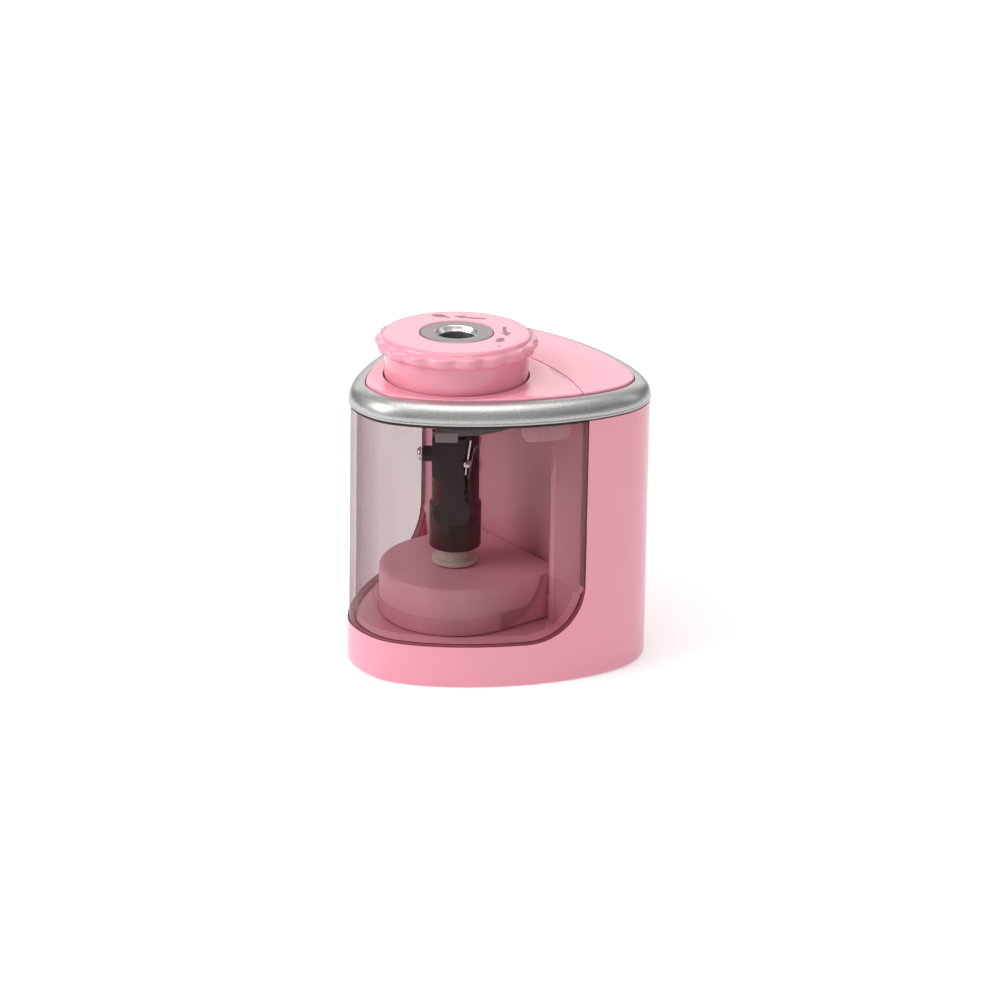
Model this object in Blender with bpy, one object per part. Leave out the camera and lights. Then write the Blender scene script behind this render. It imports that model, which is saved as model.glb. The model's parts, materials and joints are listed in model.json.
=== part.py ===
"""Battery pencil sharpener: twist-knob top, smoky slide-out shavings bin, spring-loaded
rotating cutter driven from below by a small motor and two-stage gear train.

All driving dimensions are millimetres in a working frame whose vertical axis is the
cutter spindle (x 0, y 0) and whose z 0 is the underside of the case.
M() carries a working-frame point to the part's own frame in metres: origin at the
centre of the footprint's bounding box, on the surface that the case stands on,
window towards -Y, +Z up.
"""
import bpy
import bmesh
from math import sin, cos, tan, pi, radians, degrees, sqrt, atan2
from mathutils import Vector, Matrix

# ------------------------------------------------------------------ driving dimensions
SPINDLE_Y = -7.74          # spindle axis in the part's frame
# plan outline: support function h(phi) = sum a_k cos(k phi), phi from +Y towards +X
OUTLINE = (33.718, 11.19, 0.726, -3.523, -0.254, 0.074, -0.374)
DRAFT = 0.9                # the case is this much wider all round at the bottom
CASE_N = 60                # points round the outline
WALL = 2.0
CASE_TOP = 63.0
BASE_FILLET = 1.1
WIN_Y = 13.4               # rear vertical edge of the window opening
WIN_Z = 10.2               # lower edge of the window opening
WIN_RY, WIN_RZ = 13.0, 13.3  # its rounded lower rear corners
FLOOR_Z0, FLOOR_Z1 = 8.4, 9.9
NICHE_X, NICHE_Y = 18.2, 18.6   # recess in the rear chamber wall
JAMB_T = 1.5
RIM_Z0, RIM_Z1 = 63.3, 68.2
RIM_IN = 3.6
DECK_Z0, DECK_Z1 = 66.5, 68.3
DECK_ARC_R, DECK_ARC_Y = 64.5, 21.0
KNOB_R, KNOB_LOBES, KNOB_DEPTH = 18.7, 18, 0.85
KNOB_Z0, KNOB_Z1 = 74.4, 78.0
COLLAR_R = 16.5
PED_R, PED_TOP, PED_REAR = 17.9, 21.6, 18.3   # gear cover under the cutter
MODULE = 0.6
Z_SPINDLE, Z_IDLER_PINION, Z_IDLER_WHEEL, Z_MOTOR = 42, 12, 36, 10
IDLER_Y = MODULE * (Z_SPINDLE + Z_IDLER_PINION) / 2            # 16.2
MOTOR_Y = IDLER_Y + MODULE * (Z_IDLER_WHEEL + Z_MOTOR) / 2     # 30.0
CUTTER_FACE = radians(-37.4)   # where the cutter head's flat face looks at rest
CUTTER_TRAVEL = 1.2            # how far the pencil pushes the cutter down to start it
CELL_X, CELL_Y, CELL_R, CELL_L = 18.8, 27.7, 7.1, 49.2         # AA cells
DOOR_R = 7.6
PENCIL_BORE = 4.25

# ------------------------------------------------------------------ clean start
for o in list(bpy.data.objects):
    bpy.data.objects.remove(o, do_unlink=True)
scene = bpy.context.scene
coll = scene.collection


def M(x, y, z):
    return Vector((x / 1000.0, (y + SPINDLE_Y) / 1000.0, z / 1000.0))


# ------------------------------------------------------------------ materials
def srgb(c):
    return tuple((v / 12.92 if v <= 0.04045 else ((v + 0.055) / 1.055) ** 2.4) for v in (k / 255.0 for k in c))


PALETTE = {
    "pink_plastic": ((247, 178, 193), 0.22, 0.0, 1.0),
    "smoky_clear": ((168, 152, 156), 0.08, 0.0, 0.35),
    "silver_paint": ((186, 185, 181), 0.35, 0.7, 1.0),
    "dark_smoke": ((62, 52, 52), 0.25, 0.0, 0.85),
    "black_plastic": ((40, 37, 38), 0.35, 0.0, 1.0),
    "steel": ((176, 172, 172), 0.25, 1.0, 1.0),
    "cream_plastic": ((222, 214, 200), 0.4, 0.0, 1.0),
    "white_plastic": ((232, 230, 226), 0.4, 0.0, 1.0),
    "grey_plastic": ((120, 120, 122), 0.4, 0.0, 1.0),
    "frosted_plastic": ((238, 205, 212), 0.5, 0.0, 0.8),
    "brass": ((190, 158, 92), 0.3, 1.0, 1.0),
    "copper": ((172, 104, 70), 0.35, 1.0, 1.0),
    "rubber": ((52, 52, 54), 0.85, 0.0, 1.0),
    "ferrite": ((58, 58, 60), 0.6, 0.0, 1.0),
    "cell_jacket": ((54, 96, 120), 0.3, 0.2, 1.0),
    "wire_red": ((176, 40, 38), 0.45, 0.0, 1.0),
    "wire_black": ((32, 32, 34), 0.45, 0.0, 1.0),
}
MATS = {}
for mname, (rgb, rough, metal, alpha) in PALETTE.items():
    m = bpy.data.materials.new(mname)
    m.use_nodes = True
    bsdf = m.node_tree.nodes["Principled BSDF"]
    bsdf.inputs["Base Color"].default_value = (*srgb(rgb), 1.0)
    bsdf.inputs["Roughness"].default_value = rough
    bsdf.inputs["Metallic"].default_value = metal
    bsdf.inputs["Alpha"].default_value = alpha
    m.diffuse_color = (*srgb(rgb), alpha)
    MATS[mname] = m


# ------------------------------------------------------------------ mesh helpers
def make(name, verts, faces, mat=None, origin=None, smooth=35):
    """verts in working-frame mm -> object with its origin at `origin` (working frame)."""
    o0 = M(*origin) if origin else M(0, -SPINDLE_Y, 0)
    me = bpy.data.meshes.new(name)
    me.from_pydata([M(*v) - o0 for v in verts], [], faces)
    bm = bmesh.new()
    bm.from_mesh(me)
    bmesh.ops.recalc_face_normals(bm, faces=bm.faces)
    bm.to_mesh(me)
    bm.free()
    ob = bpy.data.objects.new(name, me)
    coll.objects.link(ob)
    ob.location = o0
    if mat:
        me.materials.append(MATS[mat])
    me.shade_smooth()
    me.set_sharp_from_angle(angle=radians(smooth))
    return ob


def loft(name, rings, mat=None, origin=None, hollow=None):
    """Closed solid through equal-length rings; `hollow` is the ring list of an inner wall."""
    verts, faces = [], []
    n = len(rings[0])

    def walls(rs):
        base = len(verts)
        for r in rs:
            verts.extend(r)
        for k in range(len(rs) - 1):
            for i in range(n):
                j = (i + 1) % n
                faces.append((base + k * n + i, base + k * n + j, base + (k + 1) * n + j, base + (k + 1) * n + i))
        return base, base + (len(rs) - 1) * n

    a0, a1 = walls(rings)
    if hollow:
        b0, b1 = walls(hollow)
        for i in range(n):
            j = (i + 1) % n
            faces.append((a0 + i, b0 + i, b0 + j, a0 + j))
            faces.append((a1 + i, a1 + j, b1 + j, b1 + i))
    else:
        faces.append(tuple(a0 + i for i in range(n)))
        faces.append(tuple(a1 + i for i in range(n)))
    return make(name, verts, faces, mat, origin)


def prism(name, pts, z0, z1, mat=None, origin=None):
    return loft(name, [[(x, y, z0) for x, y in pts], [(x, y, z1) for x, y in pts]], mat, origin)


def lathe(name, prof, n, c=(0, 0), mat=None, origin=None, closed=False, turn=0.0, m=None):
    """Turned solid: prof is (r, z) pairs; open profiles start and end on the axis.
    m places the turned piece somewhere else (4x4 in mm)."""
    verts, faces, rings = [], [], []
    for r, z in prof:
        if r <= 1e-9:
            rings.append([len(verts)])
            verts.append((0, 0, z))
        else:
            rings.append(list(range(len(verts), len(verts) + n)))
            verts.extend((r * cos(turn + 2 * pi * i / n), r * sin(turn + 2 * pi * i / n), z) for i in range(n))
    pairs = list(zip(rings, rings[1:])) + ([(rings[-1], rings[0])] if closed else [])
    for a, b in pairs:
        for i in range(n):
            j = (i + 1) % n
            if len(a) == 1 and len(b) == 1:
                continue
            if len(a) == 1:
                faces.append((a[0], b[i], b[j]))
            elif len(b) == 1:
                faces.append((a[i], a[j], b[0]))
            else:
                faces.append((a[i], a[j], b[j], b[i]))
    if m is not None:
        verts = [tuple(m @ Vector(v)) for v in verts]
    verts = [(v[0] + c[0], v[1] + c[1], v[2]) for v in verts]
    return make(name, verts, faces, mat, origin)


def cyl(name, r, z0, z1, n, c=(0, 0), mat=None, origin=None, chamfer=0.0, turn=0.0, m=None):
    if chamfer:
        prof = [(0, z1), (r - chamfer, z1), (r, z1 - chamfer), (r, z0 + chamfer), (r - chamfer, z0), (0, z0)]
    else:
        prof = [(0, z1), (r, z1), (r, z0), (0, z0)]
    return lathe(name, prof, n, c, mat, origin, turn=turn, m=m)


def pipe(name, r0, r1, z0, z1, n, c=(0, 0), mat=None, origin=None, turn=0.0):
    return lathe(name, [(r1, z1), (r1, z0), (r0, z0), (r0, z1)], n, c, mat, origin, closed=True, turn=turn)


def box(name, x0, x1, y0, y1, z0, z1, mat=None, origin=None, m=None):
    v = [(x, y, z) for z in (z0, z1) for x, y in ((x0, y0), (x1, y0), (x1, y1), (x0, y1))]
    if m is not None:
        v = [tuple(m @ Vector(p)) for p in v]
    f = [(0, 1, 2, 3), (4, 5, 6, 7), (0, 1, 5, 4), (1, 2, 6, 5), (2, 3, 7, 6), (3, 0, 4, 7)]
    return make(name, v, f, mat, origin)


def boolean(target, tool, op="DIFFERENCE", solver="EXACT"):
    """Applies the cut or union at once and drops the tool."""
    tools = tool if isinstance(tool, (list, tuple)) else [tool]
    for t in tools:
        md = target.modifiers.new("b", "BOOLEAN")
        md.operation, md.solver, md.object = op, solver, t
        bpy.context.view_layer.update()
        dg = bpy.context.evaluated_depsgraph_get()
        me = bpy.data.meshes.new_from_object(target.evaluated_get(dg))
        old = target.data
        target.modifiers.clear()
        target.data = me
        bpy.data.meshes.remove(old)
        bpy.data.objects.remove(t, do_unlink=True)
    bm = bmesh.new()
    bm.from_mesh(target.data)
    bmesh.ops.remove_doubles(bm, verts=bm.verts, dist=2e-6)
    bmesh.ops.dissolve_degenerate(bm, dist=2e-6, edges=bm.edges)
    bmesh.ops.dissolve_limit(bm, angle_limit=radians(0.05), verts=bm.verts, edges=bm.edges)
    bmesh.ops.triangulate(bm, faces=bm.faces)
    bm.to_mesh(target.data)
    bm.free()
    target.data.shade_smooth()
    target.data.set_sharp_from_angle(angle=radians(35))
    return target


# ------------------------------------------------------------------ outline and gear helpers
def outline(inset, n=CASE_N):
    """The case's plan outline, moved inwards by inset (mm); counter-clockwise from the rear."""
    pts = []
    for i in range(n):
        p = -2 * pi * i / n
        h = sum(a * cos(k * p) for k, a in enumerate(OUTLINE)) - inset
        hp = sum(-k * a * sin(k * p) for k, a in enumerate(OUTLINE))
        pts.append((h * sin(p) + hp * cos(p), h * cos(p) - hp * sin(p)))
    return pts


def ring(inset, z, n=CASE_N):
    return [(x, y, z) for x, y in outline(inset, n)]


def flare(z):
    """Outward growth of the case at height z."""
    return DRAFT * (1 - z / CASE_TOP)


def hull(circles, n=64):
    """Outline of the tight band round several circles (x, y, r)."""
    pts = []
    for i in range(n):
        a = 2 * pi * (i + 0.5) / n
        d = (cos(a), sin(a))
        x, y, r = max(circles, key=lambda c: c[0] * d[0] + c[1] * d[1] + c[2])
        pts.append((x + r * d[0], y + r * d[1]))
    return pts


def window_profile(gap, zt, yf=-45.0, n=9):
    """Side view of the window opening, shrunk by gap: (y, z) from the top rear corner down."""
    ry, rz = WIN_RY - gap, WIN_RZ - gap
    cy, cz = WIN_Y - WIN_RY, WIN_Z + WIN_RZ
    pts = [(WIN_Y - gap, zt)]
    for i in range(n + 1):
        a = pi / 2 * i / n
        pts.append((cy + ry * cos(a), cz - rz * sin(a)))
    pts += [(yf, WIN_Z + gap), (yf, zt)]
    return pts


def side_prism(name, prof, x0, x1):
    """Extrudes a (y, z) profile along X."""
    n = len(prof)
    v = [(x0, y, z) for y, z in prof] + [(x1, y, z) for y, z in prof]
    f = [tuple(range(n)), tuple(range(n, 2 * n))] + [(i, (i + 1) % n, n + (i + 1) % n, n + i) for i in range(n)]
    return make(name, v, f)


def gear_points(teeth, tooth_at, c=(0, 0)):
    """Straight-flanked teeth, one centred at angle tooth_at, with running backlash."""
    pitch = MODULE * teeth / 2
    tip, root = pitch + 0.82 * MODULE, pitch - 1.1 * MODULE
    half = pi / teeth
    pts = []
    for k in range(teeth):
        a = tooth_at + 2 * pi * k / teeth
        for da, r in ((-0.60 * half, root), (-0.20 * half, tip), (0.20 * half, tip), (0.60 * half, root)):
            pts.append((c[0] + r * cos(a + da), c[1] + r * sin(a + da)))
    return pts


def tube(name, pts, r, mat, res=1, cyclic=False):
    """Round wire along points (working-frame mm), swept with parallel frames, capped."""
    P = [Vector(p) for p in pts]
    sides = 4 + 2 * res
    up = Vector((0.31, 0.17, 0.93)).normalized()
    rings = []
    for i, p in enumerate(P):
        t = (P[min(i + 1, len(P) - 1)] - P[max(i - 1, 0)]).normalized()
        up = (up - t * up.dot(t)).normalized()
        s = t.cross(up)
        rings.append([tuple(p + (up * cos(2 * pi * k / sides) + s * sin(2 * pi * k / sides)) * r) for k in range(sides)])
    return loft(name, rings, mat)


def smooth_path(ctrl, n):
    """Catmull-Rom curve through control points."""
    P = [Vector(c) for c in ctrl]
    P = [P[0] * 2 - P[1]] + P + [P[-1] * 2 - P[-2]]
    segs = len(P) - 3
    out = []
    for i in range(n + 1):
        u = min(i / n * segs, segs - 1e-9)
        k = int(u)
        t = u - k
        a, b, c, d = P[k:k + 4]
        out.append(0.5 * ((2 * b) + (c - a) * t + (2 * a - 5 * b + 4 * c - d) * t * t + (3 * b - a - 3 * c + d) * t ** 3))
    return out


# ================================================================== case
# outer wall: bottom round, slight draft, open top and bottom
outer = [(BASE_FILLET * (1 - sin(a)), BASE_FILLET * (1 - cos(a))) for a in (0.0, 0.8, pi / 2)]
rings_o = [ring(-flare(z) + d, z) for d, z in outer] + [ring(-flare(z), z) for z in (CASE_TOP,)]
rings_i = [ring(-flare(0) + WALL, 0.0), ring(-flare(CASE_TOP) + WALL, CASE_TOP)]
verts, faces = [], []
N = CASE_N
for r in rings_o + rings_i:
    verts.extend(r)
for k in range(len(rings_o) - 1):
    for i in range(N):
        j = (i + 1) % N
        faces.append((k * N + i, k * N + j, (k + 1) * N + j, (k + 1) * N + i))
b0 = len(rings_o) * N
for i in range(N):
    j = (i + 1) % N
    faces.append((b0 + i, b0 + j, b0 + N + j, b0 + N + i))
    faces.append((i, b0 + i, b0 + j, j))
    faces.append(((len(rings_o) - 1) * N + i, (len(rings_o) - 1) * N + j, b0 + N + j, b0 + N + i))
housing = make("housing", verts, faces, "pink_plastic")
boolean(housing, side_prism("w", window_profile(0.0, CASE_TOP + 4), -45, 45))
# floor with the openings for the gear cover, motor nose and battery wells
floor = loft("f", [ring(WALL - flare(FLOOR_Z0) - 0.4, FLOOR_Z0), ring(WALL - flare(FLOOR_Z1) - 0.4, FLOOR_Z1)])
cover_in = hull([(0, 0, PED_R - 1.5), (-(PED_R - 2.5), PED_REAR - 2.5, 1.0), (PED_R - 2.5, PED_REAR - 2.5, 1.0)], 40)
boolean(floor, [prism("a", cover_in, 7, 12), cyl("e", 2.8, 7, 12, 16, (0, IDLER_Y)),
                cyl("b", 3.7, 7, 12, 18, (0, MOTOR_Y)),
                cyl("c", CELL_R + 0.45, 7, 12, 24, (CELL_X, CELL_Y)),
                cyl("d", CELL_R + 0.45, 7, 12, 24, (-CELL_X, CELL_Y))])
boolean(housing, floor, "UNION")
# rear wall of the chamber, with its recess
wx = 32.0
t = JAMB_T
wall = [(-wx, WIN_Y), (-NICHE_X, WIN_Y), (-NICHE_X, NICHE_Y), (NICHE_X, NICHE_Y), (NICHE_X, WIN_Y), (wx, WIN_Y),
        (wx, WIN_Y + t), (NICHE_X + t, WIN_Y + t), (NICHE_X + t, NICHE_Y + t), (-NICHE_X - t, NICHE_Y + t),
        (-NICHE_X - t, WIN_Y + t), (-wx, WIN_Y + t)]
rearwall = prism("rw", wall, FLOOR_Z0 + 0.5, CASE_TOP + 0.2)
# trimmed to the inside of the outer wall
clip = loft("cl", [ring(WALL * 0.5 - flare(0), 0.0), ring(WALL * 0.5, CASE_TOP + 3)])
boolean(rearwall, clip, "INTERSECT")
boolean(rearwall, cyl("ip", 1.5, -3, 3, 16, m=Matrix.Translation((-26.5, WIN_Y + 0.7, 22)) @ Matrix.Rotation(pi / 2, 4, 'X')))
boolean(housing, rearwall, "UNION")
# bosses: lid screw posts behind the rear wall, case screw bosses under the floor
SCREWS = [(0.0, -20.4), (28.2, 17.5), (-28.2, 17.5)]
for sx in (1, -1):
    boolean(housing, cyl("p", 2.3, 44.0, CASE_TOP + 0.2, 12, (sx * 21.6, 16.6)), "UNION")
    boolean(housing, cyl("h", 0.9, 52.0, CASE_TOP + 2, 10, (sx * 21.6, 16.6)))
for c in SCREWS:
    boolean(housing, cyl("p", 2.3, 2.4, FLOOR_Z0 + 0.4, 12, c), "UNION")
    boolean(housing, cyl("h", 0.9, 1.0, 7.6, 10, c))

# ------------------------------------------------------------------ underside
plate = loft("bottom_plate", [ring(WALL + 0.4 - flare(0.4), 0.4), ring(WALL + 0.4 - flare(2.0), 2.0)], "pink_plastic")
DOOR_HULL = [(CELL_X, CELL_Y, DOOR_R + 0.3), (-CELL_X, CELL_Y, DOOR_R + 0.3)]
cuts = [prism("a", hull(DOOR_HULL, 36), -1, 4)]
for c in SCREWS:
    cuts.append(lathe("s", [(0, 3), (1.3, 3), (1.3, 1.5), (2.5, 1.5), (2.5, -1), (0, -1)], 16, c))
boolean(plate, cuts)
for i, c in enumerate(SCREWS, 1):
    s = lathe("case_screw_%d" % i, [(0, 6.6), (0.55, 6.6), (0.8, 6.2), (0.8, 1.35), (2.2, 1.2), (2.2, 0.75), (1.9, 0.5), (0, 0.5)],
              16, c, "steel", (c[0], c[1], 0.5))
    boolean(s, [box("x", -1.3, 1.3, -0.25, 0.25, 0.0, 0.95, m=Matrix.Translation((c[0], c[1], 0))),
                box("y", -0.25, 0.25, -1.3, 1.3, 0.0, 0.95, m=Matrix.Translation((c[0], c[1], 0)))])
door = prism("battery_door", hull([(CELL_X, CELL_Y, DOOR_R), (-CELL_X, CELL_Y, DOOR_R)], 36), 0.45, 1.9, "pink_plastic",
             (0, CELL_Y, 0.45))
boolean(door, lathe("n", [(0, 1.1), (3.0, 0.4), (3.0, -1), (0, -1)], 24, (0, CELL_Y + 4.6)))
bridge = prism("door_bridge_contact", hull([(CELL_X, CELL_Y, 4.0), (-CELL_X, CELL_Y, 4.0)], 32), 2.2, 2.5, "steel",
               (0, CELL_Y, 2.2))

# ================================================================== gear train
gear_plate = prism("gear_plate", hull([(0, 0, 15.6), (0, IDLER_Y, 12.0), (0, MOTOR_Y + 0.3, 5.6)], 44), 2.6, 3.6, "white_plastic")
boolean(gear_plate, [cyl("a", 1.1, 2, 4, 12, (0, IDLER_Y)), cyl("c", 1.4, 2, 4, 12, (0, MOTOR_Y))])
spindle_gear = prism("spindle_gear", gear_points(Z_SPINDLE, pi / 2), 6.3, 7.9, "white_plastic", (0, 0, 7.1))
boolean(spindle_gear, [cyl("a", 2.45, 5, 10, 24)])
idler = prism("idler_gear", gear_points(Z_IDLER_WHEEL, pi / 2, (0, IDLER_Y)), 3.9, 5.5, "white_plastic", (0, IDLER_Y, 4.7))
boolean(idler, prism("p", gear_points(Z_IDLER_PINION, 3 * pi / 2 + pi / Z_IDLER_PINION, (0, IDLER_Y)), 5.2, 8.0), "UNION")
boolean(idler, cyl("h", 2.2, 7.8, 9.9, 16, (0, IDLER_Y)), "UNION")
boolean(idler, cyl("a", 1.06, 3, 12, 16, (0, IDLER_Y)))
cyl("idler_axle", 1.0, 2.5, 14.0, 16, (0, IDLER_Y), "steel", (0, IDLER_Y, 2.5), chamfer=0.15)
pinion = prism("motor_pinion", gear_points(Z_MOTOR, 3 * pi / 2 + pi / Z_MOTOR, (0, MOTOR_Y)), 3.8, 6.6, "brass", (0, MOTOR_Y, 5.2))
boolean(pinion, cyl("a", 1.05, 3, 8, 16, (0, MOTOR_Y)))

# pedestal that covers the gears, standing in the chamber
def ped(d, r_edge=1.0):
    return hull([(0, 0, PED_R - d), (-(PED_R - r_edge), PED_REAR - r_edge, r_edge - d), (PED_R - r_edge, PED_REAR - r_edge, r_edge - d)], 52)


cover = loft("gear_cover", [[(x, y, z) for x, y in ped(d)] for d, z in
                            ((0.0, FLOOR_Z1 + 0.3), (0.0, PED_TOP - 0.9), (0.25, PED_TOP - 0.3), (0.85, PED_TOP))], "pink_plastic")
inner = prism("i", hull([(0, 0, PED_R - 1.5), (-(PED_R - 2.5), PED_REAR - 2.5, 1.0), (PED_R - 2.5, PED_REAR - 2.5, 1.0)], 40),
              FLOOR_Z1 - 3, PED_TOP - 1.6)
boolean(cover, inner)
boolean(cover, cyl("b", 5.2, 16.6, PED_TOP - 1.3, 24), "UNION")
boolean(cover, cyl("b", 2.4, 10.5, PED_TOP - 1.3, 16, (0, IDLER_Y - 0.02)), "UNION")
boolean(cover, [cyl("c", 3.72, 10, 25, 24), cyl("d", 1.06, 9, 14.4, 16, (0, IDLER_Y))])
lathe("spindle_bush", [(3.6, PED_TOP - 0.15), (3.6, 16.6), (2.5, 16.6), (2.5, PED_TOP - 0.15)], 24, (0, 0), "brass", (0, 0, 16.6), closed=True)
# drive hub: flange, round step, hexagonal drive nose, hollow shaft down to the spindle gear
hub = lathe("spindle_hub", [(3.65, 25.4), (3.65, 22.9), (5.4, 22.9), (5.4, 21.95), (2.4, 21.95), (2.4, 6.1), (0.95, 6.1), (0.95, 25.4)],
            20, (0, 0), "cream_plastic", (0, 0, 7.1), closed=True)
nose = lathe("n", [(0, 27.3), (3.3, 27.3), (3.3, 25.1), (0, 25.1)], 6)
boolean(nose, cyl("nb", 0.95, 24, 29, 20))
boolean(hub, nose, "UNION")

# ================================================================== motor
def motor_section(r, flat, n=28):
    pts = []
    for i in range(n):
        a = 2 * pi * (i + 0.5) / n
        x, y = r * cos(a), r * sin(a)
        pts.append((x, MOTOR_Y + max(-flat, min(flat, y))))
    return pts


can = prism("motor_can", motor_section(10.05, 7.55), 10.3, 35.3, "steel", (0, MOTOR_Y, 10.3))
boolean(can, prism("i", motor_section(9.45, 6.95), 11.1, 36))
boolean(can, cyl("n", 3.1, 8.7, 10.6, 20, (0, MOTOR_Y)), "UNION")
boolean(can, cyl("h", 1.2, 8, 12, 16, (0, MOTOR_Y)))
cap = prism("motor_end_cap", motor_section(9.9, 7.4), 35.6, 37.4, "white_plastic", (0, MOTOR_Y, 35.6))
boolean(cap, lathe("b", [(2.6, 38.6), (2.6, 37.2), (1.3, 37.2), (1.3, 38.6)], 16, (0, MOTOR_Y), closed=True), "UNION")
boolean(cap, cyl("h", 1.2, 34, 40, 16, (0, MOTOR_Y)))
arm = cyl("motor_armature", 1.0, 3.7, 38.4, 16, (0, MOTOR_Y), "steel", (0, MOTOR_Y, 20), chamfer=0.12)
poles = []
for k in range(36):
    a = 2 * pi * k / 36
    slot = abs(((a + pi / 3) % (2 * pi / 3)) - pi / 3) > pi / 3 - 0.16
    r = 3.4 if slot else 6.2
    poles.append((r * cos(a), MOTOR_Y + r * sin(a)))
boolean(arm, prism("p", poles, 14.5, 29.5), "UNION")
boolean(arm, cyl("c", 2.4, 29.0, 33.0, 16, (0, MOTOR_Y)), "UNION")
for nm, s in (("motor_magnet_left", -1), ("motor_magnet_right", 1)):
    arc = []
    for i in range(9):
        a = radians(-40 + 10 * i)
        arc.append((s * 9.15 * cos(a), MOTOR_Y + 9.15 * sin(a)))
    for i in range(9):
        a = radians(40 - 10 * i)
        arc.append((s * 7.0 * cos(a), MOTOR_Y + 7.0 * sin(a)))
    prism(nm, arc, 13.0, 31.0, "ferrite", (s * 8, MOTOR_Y, 13.0))

# ================================================================== battery supply
cradle = loft("battery_cradle", [[(x, y, z) for x, y in hull([(CELL_X, CELL_Y, 7.6), (-CELL_X, CELL_Y, 7.6)], 32)] for z in (57.2, 58.6)], "white_plastic")
for s in (1, -1):
    arc = []
    for i in range(9):
        a = radians(120 + 15 * i)
        arc.append((s * (CELL_X + 8.35 * cos(a)), CELL_Y + 8.35 * sin(a)))
    for i in range(9):
        a = radians(240 - 15 * i)
        arc.append((s * (CELL_X + 7.5 * cos(a)), CELL_Y + 7.5 * sin(a)))
    boolean(cradle, prism("w", arc, 10.3, 57.6), "UNION")
    boolean(cradle, box("n", s * 11.2 - 1.6, s * 11.2 + 1.6, 24.6, 27.2, 50.0, 57.0))
for nm, x, up in (("battery_left", -CELL_X, True), ("battery_right", CELL_X, False)):
    z0 = 5.9 if up else 3.9
    body = [(0, z0 + CELL_L), (CELL_R - 0.6, z0 + CELL_L), (CELL_R, z0 + CELL_L - 0.6), (CELL_R, z0 + 0.6), (CELL_R - 0.6, z0), (0, z0)]
    if up:
        body = [(0, z0 + CELL_L + 1.1), (2.75, z0 + CELL_L + 1.1), (2.75, z0 + CELL_L)] + body[1:]
    else:
        body = body[:-1] + [(2.75, z0), (2.75, z0 - 1.1), (0, z0 - 1.1)]
    lathe(nm, body, 24, (x, CELL_Y), "cell_jacket", (x, CELL_Y, z0))
prism("contact_positive", hull([(-CELL_X, CELL_Y, 4.2), (-CELL_X + 3.2, CELL_Y - 2, 2.2)], 28), 56.5, 56.8, "steel", (-CELL_X, CELL_Y, 56.5))
prism("contact_negative", hull([(CELL_X, CELL_Y, 4.2), (CELL_X - 3.2, CELL_Y - 2, 2.2)], 28), 56.5, 56.8, "steel", (CELL_X, CELL_Y, 56.5))


def coil(name, c, z0, z1, r0, r1, wire, turns, per, mat):
    n = int(turns * per)
    pts = []
    for i in range(n + 1):
        u = i / n
        a = 2 * pi * turns * u
        r = r0 + (r1 - r0) * u
        pts.append((c[0] + r * cos(a), c[1] + r * sin(a), z0 + wire + (z1 - z0 - 2 * wire) * u))
    return tube(name, pts, wire, mat)


coil("battery_spring_bottom", (-CELL_X, CELL_Y), 2.8, 5.6, 4.0, 2.6, 0.35, 2.5, 10, "steel")
coil("battery_spring_top", (CELL_X, CELL_Y), 53.4, 56.2, 2.6, 4.0, 0.35, 2.5, 10, "steel")

# ================================================================== switches and wires
isw = box("interlock_switch", -29.6, -23.4, 15.3, 20.0, 18.6, 25.4, "black_plastic", (-26.5, 15.3, 22))
boolean(isw, cyl("h", 1.35, -2.0, 2.0, 16, m=Matrix.Translation((-26.5, 16.4, 22)) @ Matrix.Rotation(pi / 2, 4, 'X')))
cyl("interlock_plunger", 1.15, -1.95, 1.95, 14, m=Matrix.Translation((-26.5, WIN_Y + 1.95, 22)) @ Matrix.Rotation(pi / 2, 4, 'X'),
    mat="white_plastic", origin=(-26.5, WIN_Y, 22))
leaf = box("start_switch_leaf", -9.0, 1.5, -1.3, 1.3, 5.5, 5.7, "copper", (-9.0, 0, 5.6))
box("start_switch_contact", -4.5, -2.0, -1.3, 1.3, 3.95, 4.25, "copper", (-3.2, 0, 3.9))
tube("wire_red", smooth_path([(-13.2, 25.9, 55.8), (-11.5, 25.9, 55.8), (-9.2, 25.9, 54.6), (-8.6, 25.9, 50), (-7.6, 26.2, 44), (-6.4, 27.0, 40.5), (-5.2, 27.6, 38.2)], 18), 0.6, "wire_red")
tube("wire_black", smooth_path([(13.2, 25.9, 55.8), (11.5, 25.9, 55.8), (9.2, 25.9, 54.6), (8.6, 25.9, 50), (7.6, 26.2, 44), (6.4, 27.0, 40.5), (5.2, 27.6, 38.2)], 18), 0.6, "wire_black")

# ================================================================== cutter head
CF = Matrix.Rotation(CUTTER_FACE, 4, 'Z')
CONE_Z0, CONE_R0, CONE_Z1, CONE_R1 = 31.0, 0.9, 50.0, 4.3
HALF = atan2(CONE_R1 - CONE_R0, CONE_Z1 - CONE_Z0)
prof = [(0, CONE_Z0), (CONE_R0, CONE_Z0), (CONE_R1, CONE_Z1), (CONE_R1 + 0.15, 54.6), (5.55, 54.6), (5.55, 37.4), (6.1, 36.6), (6.1, 26.4), (5.7, 26.0), (0, 26.0)]
holder = lathe("cutter_holder", prof, 28, (0, 0), "dark_smoke", (0, 0, 29.0), m=CF)
boolean(holder, lathe("hx", [(0, 30.3), (3.6, 30.3), (3.6, 25.8), (0, 25.8)], 6, (0, 0)))
boolean(holder, cyl("rd", 4.0, 25.0, 26.9, 24))
# flat front recess that takes the black carrier block
boolean(holder, box("fr", 4.3, 9, -6.4, 6.4, 32.8, 56, m=CF))
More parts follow.
